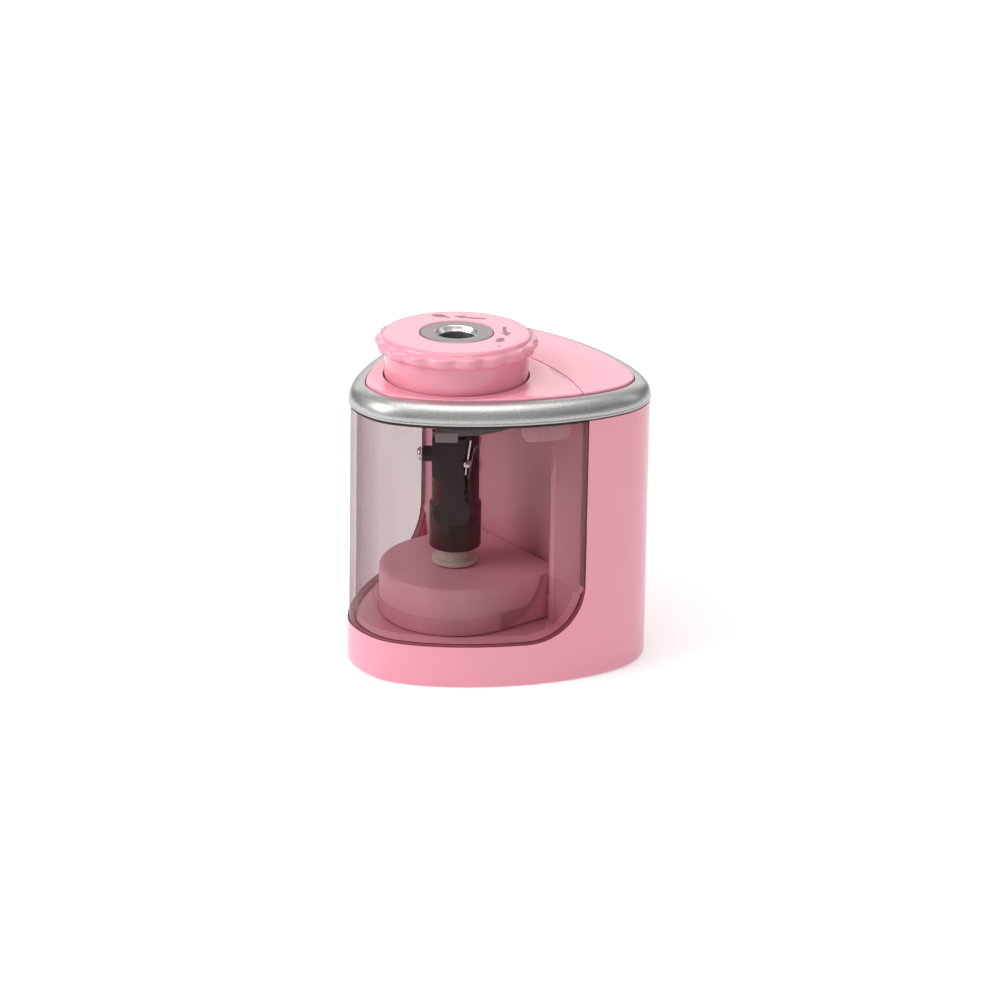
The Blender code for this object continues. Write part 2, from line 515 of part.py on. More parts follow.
# blade flat, tilted with the cone and opening it along one side
BF = CF @ Matrix.Rotation(radians(78), 4, 'Z')
PLANE = BF @ Matrix.Translation((CONE_R0 - 0.45, 0, CONE_Z0)) @ Matrix.Rotation(HALF, 4, 'Y')
boolean(holder, box("bf", 0.0, 9.0, -4.6, 6.6, 3.0, 21.0, m=PLANE))
blade = box("cutter_blade", 0.3, 0.8, -0.9, 6.4, 3.6, 20.2, "steel", (0, 0, 29.0), m=PLANE)
screw_m = PLANE @ Matrix.Translation((0.0, 3.2, 14.4)) @ Matrix.Rotation(pi / 2, 4, 'Y')
boolean(blade, cyl("h", 1.25, -2, 4, 14, m=screw_m))
bscrew = lathe("blade_screw", [(0, 2.5), (1.2, 2.4), (2.0, 1.9), (2.1, 1.1), (0.95, 1.1), (0.95, -0.9), (0, -0.9)], 16, (0, 0), "steel", (0, 0, 29.0), m=screw_m)
boolean(bscrew, box("sl", -0.3, 0.3, -3, 3, 2.0, 3.0, m=screw_m))
boolean(holder, cyl("h2", 1.15, -1.6, 1.0, 14, m=screw_m))
# carrier block: wide head, waist and rounded foot, with a screw lug on its side
blk = [(-5.3, 54.2), (-5.3, 45.2), (-4.2, 44.2), (-3.0, 43.4), (-3.0, 38.8), (-4.9, 37.6), (-4.9, 34.9), (-3.9, 33.4), (-2.0, 33.1), (1.0, 33.1),
       (2.9, 33.5), (3.4, 35.0), (3.4, 37.8), (2.3, 39.0), (2.3, 44.0), (2.0, 47.0), (2.6, 54.2)]
nb = len(blk)
bv = [tuple(CF @ Vector((x, y, z))) for x in (4.6, 6.3) for y, z in blk]
bfaces = [tuple(range(nb)), tuple(range(nb, 2 * nb))] + [(i, (i + 1) % nb, nb + (i + 1) % nb, nb + i) for i in range(nb)]
block = make("cutter_block", bv, bfaces, "black_plastic", (0, 0, 29.0))
lug = cyl("lug", 2.1, 0.0, 3.6, 6, m=CF @ Matrix.Translation((4.4, -3.9, 50.3)) @ Matrix.Rotation(pi / 2, 4, 'X'))
lugtrim = box("lt", 4.6, 8.0, -9.0, -3.0, 46, 55, m=CF)
boolean(lug, lugtrim, "INTERSECT")
boolean(block, lug, "UNION")
lathe("block_screw", [(0, 1.3), (1.0, 1.25), (1.55, 0.85), (1.6, 0.3), (0, 0.3)], 14, (0, 0), "steel", (0, 0, 29.0),
      m=CF @ Matrix.Translation((6.0, -7.5, 50.6)) @ Matrix.Rotation(pi / 2, 4, 'X'))
cyl("start_pushrod", 0.7, 5.95, 30.0, 12, (0, 0), "steel", (0, 0, 29.0), chamfer=0.1)
coil("cutter_spring", (0, 0), 27.5, 30.0, 2.2, 2.2, 0.2, 2.5, 10, "steel")

# ================================================================== lid, rim, knob
rim_prof = [(-0.12, RIM_Z0), (-0.15, 64.4), (0.3, 65.85), (1.2, 67.05), (2.4, 67.85), (RIM_IN, RIM_Z1)]
rim = loft("trim_rim", [ring(d, z) for d, z in rim_prof], "silver_paint")
boolean(rim, prism("ri", outline(RIM_IN), 60, 70))
frame = prism("lid_frame", outline(RIM_IN + 0.3), 63.6, 66.2, "pink_plastic")
boolean(frame, pipe("bs", 12.0, 14.6, 60.9, 64.0, 30), "UNION")
boolean(frame, cyl("h", 12.7, 58, 70, 30))
for s in (1, -1):
    boolean(frame, lathe("sc", [(0, 70), (2.4, 70), (2.4, 64.9), (1.3, 64.9), (1.3, 60), (0, 60)], 16, (s * 21.6, 16.6)))
    nm = "lid_screw_%s" % ("right" if s > 0 else "left")
    lathe(nm, [(0, 66.2), (1.9, 66.15), (2.1, 65.8), (2.1, 65.2), (0.8, 65.2), (0.8, 53.5), (0, 53.5)], 14, (s * 21.6, 16.6), "steel", (s * 21.6, 16.6, 53.5))
    # hanging guide that keeps the bin's side wall in line
    pts_o, pts_i = [], []
    for i in range(5):
        p = radians(s * (116 - 2.5 * i))
        for d, lst in ((2.3, pts_o), (3.5, pts_i)):
            h = sum(a * cos(k * p) for k, a in enumerate(OUTLINE)) - d
            hp = sum(-k * a * sin(k * p) for k, a in enumerate(OUTLINE))
            lst.append((h * sin(p) + hp * cos(p), h * cos(p) - hp * sin(p)))
    gd = prism("bin_guide_%s" % ("right" if s > 0 else "left"), pts_o + pts_i[::-1], 58.4, 63.0, "frosted_plastic")
arc_pts = [(DECK_ARC_R * sin(radians(a)), DECK_ARC_Y - DECK_ARC_R + DECK_ARC_R * cos(radians(a))) for a in range(-35, 36, 5)]


def deck_side(shift, rear):
    pts = [(x, y + shift) for x, y in arc_pts]
    return pts + ([(45, 60), (-45, 60)] if rear else [(45, -45), (-45, -45)])


front = prism("front_deck", outline(RIM_IN + 0.3), DECK_Z0, DECK_Z1, "pink_plastic")
boolean(front, prism("c", deck_side(-0.2, True), 60, 75))
boolean(front, cyl("h", COLLAR_R + 0.4, 60, 75, 44))
rear = prism("rear_deck", outline(RIM_IN + 0.3), DECK_Z0, DECK_Z1, "pink_plastic")
boolean(rear, prism("c", deck_side(0.2, False), 60, 75))


def scallop(r, k=1.0, n=72):
    pts = []
    for i in range(n):
        a = 2 * pi * i / n
        w = 0.5 - 0.5 * cos(KNOB_LOBES * (a - CUTTER_FACE))
        pts.append(((r - KNOB_DEPTH * k * (1 - w ** 0.7)) * cos(a), (r - KNOB_DEPTH * k * (1 - w ** 0.7)) * sin(a)))
    return pts


knob = loft("adjuster_knob", [[(x, y, z) for x, y in scallop(r, k)] for r, z, k in
                              ((KNOB_R - 0.4, KNOB_Z0, 0.9), (KNOB_R, 76.1, 1.0), (KNOB_R - 1.1, 77.1, 0.3), (16.6, KNOB_Z1, 0.0))], "pink_plastic", (0, 0, 68))
boolean(knob, cyl("col", COLLAR_R, 66.8, KNOB_Z0 + 0.5, 44), "UNION")
boolean(knob, cyl("slv", 12.2, 58.4, 67.2, 30), "UNION")
boolean(knob, cyl("bore", 8.5, 50, 80, 28))
pipe("knob_retainer", 12.5, 16.1, 58.4, 60.6, 36, (0, 0), "grey_plastic", (0, 0, 58.4), turn=CUTTER_FACE)
lugp = box("lg", 14.6, 16.3, -4.3, 0.8, 56.9, 59.4, m=CF)
boolean(bpy.data.objects["knob_retainer"], lugp, "UNION")
boolean(bpy.data.objects["knob_retainer"], box("gap", 4.0, 18.0, -18.0, -4.3, 56.0, 62.0, m=CF))   # the ring is open next to its lug
lathe("pencil_guide", [(8.2, KNOB_Z1), (8.2, 76.6), (6.2, 76.6), (6.2, 66.4), (PENCIL_BORE, 66.4), (PENCIL_BORE, 76.9), (4.75, KNOB_Z1)],
      28, (0, 0), "steel", (0, 0, 68), closed=True)
lathe("adjuster_sleeve", [(7.9, 64.4), (7.9, 61.5), (6.6, 61.5), (6.6, 57.2), (4.6, 57.2), (4.6, 64.4)], 28, (0, 0), "grey_plastic",
      (0, 0, 60), closed=True)

# ================================================================== shavings bin
BIN_TOP, BIN_GAP, BIN_T = 62.6, 0.35, 1.5
BIN_REAR_TOP = 21.4
BIN_INNER_TOP = 14.5        # low wall of the bin round the gear cover
binb = loft("shavings_bin", [ring(BIN_GAP - flare(WIN_Z) , WIN_Z), ring(BIN_GAP, BIN_TOP)], "smoky_clear", (0, WIN_Y - 0.35, 36))
boolean(binb, side_prism("w", window_profile(0.3, BIN_TOP + 5), -45, 45), "INTERSECT")
cav = loft("cav", [ring(BIN_GAP + BIN_T - flare(WIN_Z), WIN_Z), ring(BIN_GAP + BIN_T, BIN_TOP + 2)])
boolean(cav, side_prism("w", window_profile(0.3 + BIN_T, BIN_TOP + 8), -45, 45), "INTERSECT")


def u_shape(r, back=40.0):
    n = 28
    pts = [(r * cos(pi + pi * i / n), r * sin(pi + pi * i / n)) for i in range(n + 1)]
    return pts + [(r, back), (-r, back)]


keep = prism("k", u_shape(PED_R + 1.5), 0, BIN_INNER_TOP)
boolean(cav, keep)
boolean(binb, cav)
boolean(binb, prism("u", u_shape(PED_R + 0.35), 0, 80))
# open the rear above the low rear walls
rear_open = loft("o", [ring(BIN_GAP + BIN_T - flare(WIN_Z), WIN_Z), ring(BIN_GAP + BIN_T, BIN_TOP + 2)])
boolean(rear_open, box("ob", -45, 45, 4.0, 22.0, BIN_REAR_TOP, 80), "INTERSECT")
boolean(binb, rear_open)
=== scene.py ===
"""Looks of the battery pencil sharpener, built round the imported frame.

Working-frame millimetres are used for all shapes (spindle axis at x 0, y 0; z 0 on the
table) and carried into the frame's metres by W(). Every piece rides on a body.
"""
import json
import bpy
import bmesh
from math import sin, cos, tan, pi, radians, sqrt, atan2
from mathutils import Vector, Matrix


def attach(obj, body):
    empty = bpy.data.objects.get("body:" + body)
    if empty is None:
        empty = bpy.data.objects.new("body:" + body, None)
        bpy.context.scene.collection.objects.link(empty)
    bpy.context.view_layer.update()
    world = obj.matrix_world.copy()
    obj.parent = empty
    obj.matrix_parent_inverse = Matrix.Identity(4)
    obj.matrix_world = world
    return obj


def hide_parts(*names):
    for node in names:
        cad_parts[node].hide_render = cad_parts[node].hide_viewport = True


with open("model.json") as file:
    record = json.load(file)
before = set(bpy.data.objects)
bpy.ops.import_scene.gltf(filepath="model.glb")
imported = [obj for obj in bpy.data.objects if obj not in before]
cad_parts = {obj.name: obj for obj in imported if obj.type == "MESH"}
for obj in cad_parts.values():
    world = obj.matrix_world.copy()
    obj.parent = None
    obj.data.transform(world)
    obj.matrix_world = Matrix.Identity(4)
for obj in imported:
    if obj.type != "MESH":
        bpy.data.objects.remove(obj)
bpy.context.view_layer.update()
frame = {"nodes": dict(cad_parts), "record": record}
nodes = frame["nodes"]
scene = bpy.context.scene
coll = scene.collection

SPINDLE_Y = -7.74
OUTLINE = (33.718, 11.19, 0.726, -3.523, -0.254, 0.074, -0.374)
CASE_TOP, WALL = 63.0, 2.0
WIN_Y, WIN_Z, WIN_RY, WIN_RZ = 13.4, 10.2, 13.0, 13.3
NICHE_X, NICHE_Y = 18.2, 18.6
FACE = radians(-37.4)
PED_R, PED_TOP, PED_REAR = 17.9, 21.6, 18.3
CELL_X, CELL_Y = 18.8, 27.7


def W(x, y, z):
    return Vector((x / 1000.0, (y + SPINDLE_Y) / 1000.0, z / 1000.0))


# ------------------------------------------------------------------ material nodes
def lin(c):
    return tuple((v / 12.92 if v <= 0.04045 else ((v + 0.055) / 1.055) ** 2.4) for v in (k / 255.0 for k in c))


class Nodes:
    def __init__(self, name):
        self.m = bpy.data.materials.new(name)
        self.m.use_nodes = True
        self.t = self.m.node_tree
        self.t.nodes.clear()
        self.out = self.t.nodes.new("ShaderNodeOutputMaterial")
        self.co = self.t.nodes.new("ShaderNodeTexCoord").outputs["Object"]

    def n(self, kind, **kw):
        node = self.t.nodes.new(kind)
        for k, v in kw.items():
            setattr(node, k, v)
        return node

    def link(self, a, b):
        self.t.links.new(a, b)

    def noise(self, scale, detail=2.0, rough=0.5, stretch=None):
        tx = self.n("ShaderNodeTexNoise")
        tx.inputs["Scale"].default_value = scale
        tx.inputs["Detail"].default_value = detail
        tx.inputs["Roughness"].default_value = rough
        if stretch:
            mp = self.n("ShaderNodeMapping")
            mp.inputs["Scale"].default_value = stretch
            self.link(self.co, mp.inputs["Vector"])
            self.link(mp.outputs[0], tx.inputs["Vector"])
        else:
            self.link(self.co, tx.inputs["Vector"])
        return tx.outputs["Fac"]

    def voronoi(self, scale):
        tx = self.n("ShaderNodeTexVoronoi")
        tx.inputs["Scale"].default_value = scale
        self.link(self.co, tx.inputs["Vector"])
        return tx.outputs["Color"], tx.outputs["Distance"]

    def span(self, value, lo, hi, a=0.3, b=0.7):
        mr = self.n("ShaderNodeMapRange")
        mr.inputs["From Min"].default_value = a
        mr.inputs["From Max"].default_value = b
        mr.inputs["To Min"].default_value = lo
        mr.inputs["To Max"].default_value = hi
        self.link(value, mr.inputs["Value"])
        return mr.outputs["Result"]

    def ramp(self, value, stops):
        cr = self.n("ShaderNodeValToRGB")
        el = cr.color_ramp.elements
        while len(el) < len(stops):
            el.new(0.5)
        for e, (p, c) in zip(el, stops):
            e.position = p
            e.color = (*c, 1.0)
        self.link(value, cr.inputs["Fac"])
        return cr.outputs["Color"]

    def bump(self, height, strength, dist):
        b = self.n("ShaderNodeBump")
        b.inputs["Strength"].default_value = strength
        b.inputs["Distance"].default_value = dist
        self.link(height, b.inputs["Height"])
        return b.outputs["Normal"]

    def principled(self, color, rough, metal=0.0, normal=None, **kw):
        p = self.n("ShaderNodeBsdfPrincipled")
        if isinstance(color, tuple):
            p.inputs["Base Color"].default_value = (*color, 1.0)
        else:
            self.link(color, p.inputs["Base Color"])
        if isinstance(rough, float):
            p.inputs["Roughness"].default_value = rough
        else:
            self.link(rough, p.inputs["Roughness"])
        p.inputs["Metallic"].default_value = metal
        if normal is not None:
            self.link(normal, p.inputs["Normal"])
        for k, v in kw.items():
            p.inputs[k.replace("_", " ")].default_value = v
        return p

    def done(self, shader):
        self.link(shader, self.out.inputs["Surface"])
        return self.m


def shade(c, k):
    return tuple(min(1.0, v * k) for v in c)


def moulded(name, c, rough=0.28, grain=0.12, coat=0.0, vary=0.05, spec=0.5, even=0.1):
    """Injection-moulded plastic: faint cloudy colour, slightly uneven gloss, very fine skin grain."""
    k = Nodes(name)
    cloud = k.noise(95.0, 3.0, 0.55)
    col = k.ramp(cloud, [(0.32, shade(c, 1 - vary)), (0.5, c), (0.7, shade(c, 1 + vary * 0.7))])
    r = k.span(k.noise(420.0, 4.0, 0.6), rough * (1 - even), rough * (1 + even))
    nrm = k.bump(k.noise(3800.0, 2.0, 0.5), grain, 0.00004)
    return k.done(k.principled(col, r, 0.0, nrm, Coat_Weight=coat, Coat_Roughness=0.12, IOR=1.46,
                               Specular_IOR_Level=spec).outputs[0])


def silver_paint():
    """Satin metallic paint: aluminium flakes under a thin clear coat."""
    k = Nodes("silver_paint_flake")
    cell, dist = k.voronoi(5200.0)
    sep = k.n("ShaderNodeSeparateColor")
    k.link(cell, sep.inputs[0])
    col = k.ramp(sep.outputs[0], [(0.0, (0.44, 0.43, 0.415)), (0.55, (0.50, 0.49, 0.475)), (0.92, (0.56, 0.55, 0.535)), (1.0, (0.68, 0.675, 0.66))])
    cloud = k.span(k.noise(1500.0, 3.0, 0.6), 0.31, 0.42)
    nrm = k.bump(sep.outputs[1], 0.07, 0.00005)
    return k.done(k.principled(col, cloud, 0.86, nrm, Coat_Weight=0.2, Coat_Roughness=0.25).outputs[0])


def metal(name, c, rough, stretch=(1, 1, 1), scale=900.0, grain=0.15):
    """Turned or drawn metal with fine directional marks."""
    k = Nodes(name)
    f = k.noise(scale, 4.0, 0.6, stretch)
    col = k.ramp(f, [(0.3, shade(c, 0.86)), (0.55, c), (0.75, shade(c, 1.1))])
    r = k.span(f, rough * 0.75, rough * 1.3)
    nrm = k.bump(f, grain, 0.00003)
    return k.done(k.principled(col, r, 1.0, nrm).outputs[0])


def clear(name, tint, edge, gloss=0.06, haze=0.0, haze_col=(0.5, 0.45, 0.45), rough=0.05):
    """Thin tinted clear plastic: dye deepens where the wall is seen edge-on, with a clear gloss on top."""
    k = Nodes(name)
    lw = k.n("ShaderNodeLayerWeight")
    lw.inputs["Blend"].default_value = 0.5
    streak = k.noise(240.0, 2.0, 0.5, (1, 1, 0.12))
    faint = k.span(streak, 0.985, 1.015)
    col = k.ramp(lw.outputs["Facing"], [(0.0, tint), (0.6, tuple(t * 0.985 for t in tint)), (0.86, edge), (1.0, tuple(e * 0.7 for e in edge))])
    mul = k.n("ShaderNodeVectorMath", operation="SCALE")
    k.link(col, mul.inputs[0])
    k.link(faint, mul.inputs["Scale"])
    tr = k.n("ShaderNodeBsdfTransparent")
    k.link(mul.outputs[0], tr.inputs["Color"])
    gl = k.n("ShaderNodeBsdfGlossy")
    gl.inputs["Color"].default_value = (0.95, 0.95, 0.95, 1)
    gl.inputs["Roughness"].default_value = rough
    p5 = k.n("ShaderNodeMath", operation="POWER")
    p5.inputs[1].default_value = 5.0
    k.link(lw.outputs["Facing"], p5.inputs[0])
    fr = k.n("ShaderNodeMath", operation="MULTIPLY_ADD")
    fr.inputs[1].default_value = 0.55
    fr.inputs[2].default_value = gloss
    k.link(p5.outputs[0], fr.inputs[0])
    base = tr.outputs[0]
    if haze:
        df = k.n("ShaderNodeBsdfDiffuse")
        df.inputs["Color"].default_value = (*haze_col, 1)
        m0 = k.n("ShaderNodeMixShader")
        m0.inputs[0].default_value = haze
        k.link(base, m0.inputs[1])
        k.link(df.outputs[0], m0.inputs[2])
        base = m0.outputs[0]
    mx = k.n("ShaderNodeMixShader")
    k.link(fr.outputs[0], mx.inputs[0])
    k.link(base, mx.inputs[1])
    k.link(gl.outputs[0], mx.inputs[2])
    return k.done(mx.outputs[0])


PINK = (0.88, 0.345, 0.44)
MAT = {
    "pink_plastic": moulded("pink_moulded", PINK, 0.2, 0.008, 0.4, 0.008, even=0.03),
    # painted light: a lighter, paler copy of the case pink for the inner parts, standing in for light that reaches
    # them through the bin
    "pink_inside": moulded("pink_moulded_inside_painted_light", (0.90, 0.46, 0.55), 0.36, 0.008, 0.0, 0.015, even=0.04),
    "smoky_clear": clear("smoky_clear_wall", (0.846, 0.810, 0.812), (0.60, 0.52, 0.53), 0.0),
    "silver_paint": silver_paint(),
    "dark_smoke": clear("dark_smoke_wall", (0.50, 0.25, 0.21), (0.16, 0.08, 0.065), 0.02, 0.42, (0.13, 0.095, 0.095), 0.22),
    "black_plastic": moulded("black_moulded", (0.062, 0.054, 0.054), 0.42, 0.02, 0.0, 0.12, 0.3),
    "steel": metal("steel_drawn", (0.60, 0.59, 0.585), 0.26),
    "chrome": metal("chrome_plate", (0.86, 0.85, 0.85), 0.07, grain=0.03),
    "cream_plastic": moulded("cream_moulded", (0.76, 0.70, 0.60), 0.36, 0.15, 0.0, 0.05),
    "white_plastic": moulded("white_moulded", (0.78, 0.77, 0.74), 0.36, 0.15, 0.0, 0.04),
    "grey_plastic": moulded("grey_moulded", (0.165, 0.165, 0.17), 0.42, 0.15, 0.0, 0.06),
    "grey_lug": moulded("grey_lug_moulded", (0.36, 0.365, 0.365), 0.45, 0.15, 0.0, 0.06),
    "brass": metal("brass_turned", (0.66, 0.47, 0.20), 0.25),
    "copper": metal("copper_strip", (0.72, 0.36, 0.22), 0.3),
    "ferrite": moulded("ferrite_sintered", (0.045, 0.045, 0.048), 0.65, 0.5, 0.0, 0.2),
    "wire_red": moulded("wire_red_pvc", (0.42, 0.02, 0.018), 0.4, 0.2, 0.0, 0.1),
    "wire_black": moulded("wire_black_pvc", (0.014, 0.014, 0.015), 0.42, 0.2, 0.0, 0.1),
}
# painted shade: dark rose and mid-dark rose for the case's faces at the window's edge, standing in for the shade in
# the gap between case and bin
MAT["seam"] = moulded("pink_seam_painted_shade", (0.17, 0.028, 0.045), 0.5, 0.02, 0.0, 0.1)
MAT["seam_mid"] = moulded("pink_seam_mid_painted_shade", (0.42, 0.11, 0.16), 0.45, 0.02, 0.0, 0.06)
MAT["bin_thin"] = clear("smoky_clear_floor", (0.985, 0.97, 0.97), (0.95, 0.92, 0.92), 0.0)
# painted shade: near-black for the gap under the rim
MAT["gap_dark"] = moulded("gap_dark", (0.012, 0.008, 0.008), 0.6, 0.02, 0.0, 0.1)
# painted shade: a darker, hazier tint for the bin's end faces by the case jamb and its top faces under the rim,
# standing in for the shade in those gaps
MAT["bin_lip"] = clear("smoky_clear_lip_painted_shade", (0.60, 0.50, 0.51), (0.42, 0.32, 0.34), 0.0, 0.3, (0.45, 0.35, 0.36))


def frosted():
    """Light pink plastic with a matt, light-scattering skin."""
    k = Nodes("frosted_tab")
    c = k.ramp(k.noise(700.0, 3.0, 0.6), [(0.3, (0.88, 0.48, 0.56)), (0.7, (0.93, 0.54, 0.62))])
    return k.done(k.principled(c, 0.5, 0.0, k.bump(k.noise(5200.0, 2.0), 0.05, 0.00004)).outputs[0])


def cell_jacket():
    """Printed foil jacket: plain dark body with a lighter band at the positive end."""
    k = Nodes("cell_jacket_foil")
    sep = k.n("ShaderNodeSeparateXYZ")
    k.link(k.co, sep.inputs[0])
    col = k.ramp(k.span(sep.outputs[2], 0.0, 1.0, 0.0, 0.06),
                 [(0.0, (0.03, 0.10, 0.16)), (0.70, (0.035, 0.12, 0.19)), (0.72, (0.62, 0.42, 0.16)), (1.0, (0.66, 0.46, 0.19))])
    return k.done(k.principled(col, k.span(k.noise(1100.0, 3.0), 0.22, 0.34), 0.35, k.bump(k.noise(3000.0), 0.1, 0.00003)).outputs[0])


def ink():
    """Tampo-printed mark, slightly broken at its edges."""
    k = Nodes("ink_rose")
    c = k.ramp(k.noise(2600.0, 3.0, 0.6), [(0.35, (0.40, 0.155, 0.20)), (0.62, (0.32, 0.115, 0.155))])
    return k.done(k.principled(c, 0.42, 0.0).outputs[0])


MAT["frosted_plastic"] = frosted()
MAT["cell_jacket"] = cell_jacket()
MAT["ink"] = ink()
# the guide's flat face is lapped in circles round the bore
def lapped(name, c, rough):
    k = Nodes(name)
    sep = k.n("ShaderNodeSeparateXYZ")
    k.link(k.co, sep.inputs[0])
    yy = k.n("ShaderNodeMath", operation="SUBTRACT")
    yy.inputs[1].default_value = SPINDLE_Y / 1000.0
    k.link(sep.outputs[1], yy.inputs[0])
    a = k.n("ShaderNodeMath", operation="MULTIPLY")
    k.link(sep.outputs[0], a.inputs[0])
    k.link(sep.outputs[0], a.inputs[1])
    b = k.n("ShaderNodeMath", operation="MULTIPLY_ADD")
    k.link(yy.outputs[0], b.inputs[0])
    k.link(yy.outputs[0], b.inputs[1])
    k.link(a.outputs[0], b.inputs[2])
    s = k.n("ShaderNodeMath", operation="SQRT")
    k.link(b.outputs[0], s.inputs[0])
    rings = k.n("ShaderNodeMath", operation="MULTIPLY")
    rings.inputs[1].default_value = 26000.0
    k.link(s.outputs[0], rings.inputs[0])
    w = k.n("ShaderNodeMath", operation="SINE")
    k.link(rings.outputs[0], w.inputs[0])
    col = k.ramp(k.noise(1300.0, 3.0), [(0.3, shade(c, 0.93)), (0.7, shade(c, 1.06))])
    return k.done(k.principled(col, rough, 1.0, k.bump(w.outputs[0], 0.18, 0.00001)).outputs[0])


MAT["guide_steel"] = lapped("guide_steel_lapped", (0.40, 0.335, 0.335), 0.42)
MAT["guide_bore"] = metal("guide_bore_polished", (0.84, 0.83, 0.82), 0.3, (1, 1, 6), 700.0, 0.0)
MAT["guide_deep"] = metal("guide_bore_dull", (0.17, 0.155, 0.15), 0.5, (1, 1, 6), 700.0, 0.02)


# ------------------------------------------------------------------ mesh helpers
def raw(name, verts, faces):
    me = bpy.data.meshes.new(name)
    me.from_pydata([W(*v) for v in verts], [], faces)
    bm = bmesh.new()
    bm.from_mesh(me)
    bmesh.ops.recalc_face_normals(bm, faces=bm.faces)
    bm.to_mesh(me)
    bm.free()
    ob = bpy.data.objects.new(name, me)
    coll.objects.link(ob)
    return ob


def settle(ob):
    """Applies the object's modifiers."""
    bpy.context.view_layer.update()
    dg = bpy.context.evaluated_depsgraph_get()
    me = bpy.data.meshes.new_from_object(ob.evaluated_get(dg))
    old = ob.data
    ob.modifiers.clear()
    ob.data = me
    bpy.data.meshes.remove(old)
    return ob


def cut(target, tools, op="DIFFERENCE"):
    for t in (tools if isinstance(tools, (list, tuple)) else [tools]):
        md = target.modifiers.new("b", "BOOLEAN")
        md.operation, md.solver, md.object = op, "EXACT", t
        settle(target)
        bpy.data.objects.remove(t, do_unlink=True)
    bm = bmesh.new()
    bm.from_mesh(target.data)
    bmesh.ops.remove_doubles(bm, verts=bm.verts, dist=4e-6)
    bmesh.ops.dissolve_degenerate(bm, dist=3e-6, edges=bm.edges)
    bm.to_mesh(target.data)
    bm.free()
    return target


def finish_piece(ob, body, mat, replace=(), bevel=0.0, segs=3, angle=38, smooth=38):
    """Rounds the edges, shades, paints and hangs the piece on its body."""
    if bevel:
        md = ob.modifiers.new("bevel", "BEVEL")
        md.width, md.segments, md.limit_method = bevel / 1000.0, segs, "ANGLE"
        md.angle_limit = radians(angle)
        md.use_clamp_overlap = True
        md.harden_normals = False
        settle(ob)
    ob.data.shade_smooth()
    ob.data.set_sharp_from_angle(angle=radians(smooth))
    if mat:
        ob.data.materials.clear()
        ob.data.materials.append(MAT[mat])
    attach(ob, body)
    if replace:
        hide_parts(*replace)
    return ob


def soften(ob):
    """Flat faces stay flat next to their rounded edges."""
    md = ob.modifiers.new("normals", "WEIGHTED_NORMAL")
    md.weight = 60
    md.keep_sharp = True
    return settle(ob)


def hval(p, inset):
    h = sum(a * cos(k * p) for k, a in enumerate(OUTLINE)) - inset
    hp = sum(-k * a * sin(k * p) for k, a in enumerate(OUTLINE))
    return h * sin(p) + hp * cos(p), h * cos(p) - hp * sin(p)


def outline(inset, n=240):
    return [hval(-2 * pi * i / n, inset) for i in range(n)]


def flare(z):
    return 0.9 * (1 - z / CASE_TOP)


def ring(inset, z, n=240):
    return [(x, y, z) for x, y in outline(inset, n)]


def loft(name, rings, hollow=None, closed=False):
    verts, faces = [], []
    n = len(rings[0])

    def walls(rs):
        base = len(verts)
        for r in rs:
            verts.extend(r)
        for k in range(len(rs) - 1):
            for i in range(n):
                j = (i + 1) % n
                faces.append((base + k * n + i, base + k * n + j, base + (k + 1) * n + j, base + (k + 1) * n + i))
        return base, base + (len(rs) - 1) * n

    a0, a1 = walls(rings)
    if closed:
        for i in range(n):
            j = (i + 1) % n
            faces.append((a1 + i, a1 + j, a0 + j, a0 + i))
    elif hollow:
        b0, b1 = walls(hollow)
        for i in range(n):
            j = (i + 1) % n
            faces.append((a0 + i, b0 + i, b0 + j, a0 + j))
            faces.append((a1 + i, a1 + j, b1 + j, b1 + i))
    else:
        faces.append(tuple(a0 + i for i in range(n)))
        faces.append(tuple(a1 + i for i in range(n)))
    return raw(name, verts, faces)


def prism(name, pts, z0, z1):
    return loft(name, [[(x, y, z0) for x, y in pts], [(x, y, z1) for x, y in pts]])


def lathe(name, prof, n, c=(0, 0), closed=False, turn=0.0, m=None):
    verts, faces, rings = [], [], []
    for r, z in prof:
        if r <= 1e-9:
            rings.append([len(verts)])
            verts.append((0, 0, z))
        else:
            rings.append(list(range(len(verts), len(verts) + n)))
            verts.extend((r * cos(turn + 2 * pi * i / n), r * sin(turn + 2 * pi * i / n), z) for i in range(n))
    for a, b in list(zip(rings, rings[1:])) + ([(rings[-1], rings[0])] if closed else []):
        for i in range(n):
            j = (i + 1) % n
            if len(a) == 1 and len(b) == 1:
                continue
            if len(a) == 1:
                faces.append((a[0], b[i], b[j]))
            elif len(b) == 1:
                faces.append((a[i], a[j], b[0]))
            else:
                faces.append((a[i], a[j], b[j], b[i]))
    if m is not None:
        verts = [tuple(m @ Vector(v)) for v in verts]
    return raw(name, [(v[0] + c[0], v[1] + c[1], v[2]) for v in verts], faces)


def cyl(name, r, z0, z1, n=48, c=(0, 0), m=None, turn=0.0):
    return lathe(name, [(0, z1), (r, z1), (r, z0), (0, z0)], n, c, m=m, turn=turn)


def box(name, x0, x1, y0, y1, z0, z1, m=None):
    v = [(x, y, z) for z in (z0, z1) for x, y in ((x0, y0), (x1, y0), (x1, y1), (x0, y1))]
    if m is not None:
        v = [tuple(m @ Vector(p)) for p in v]
    return raw(name, v, [(0, 1, 2, 3), (4, 5, 6, 7), (0, 1, 5, 4), (1, 2, 6, 5), (2, 3, 7, 6), (3, 0, 4, 7)])


def side_prism(name, prof, x0, x1):
    n = len(prof)
    v = [(x0, y, z) for y, z in prof] + [(x1, y, z) for y, z in prof]
    return raw(name, v, [tuple(range(n)), tuple(range(n, 2 * n))] + [(i, (i + 1) % n, n + (i + 1) % n, n + i) for i in range(n)])


def hull(circles, n=128):
    pts = []
    for i in range(n):
        a = 2 * pi * (i + 0.5) / n
        d = (cos(a), sin(a))
        x, y, r = max(circles, key=lambda c: c[0] * d[0] + c[1] * d[1] + c[2])
        pts.append((x + r * d[0], y + r * d[1]))
    return pts


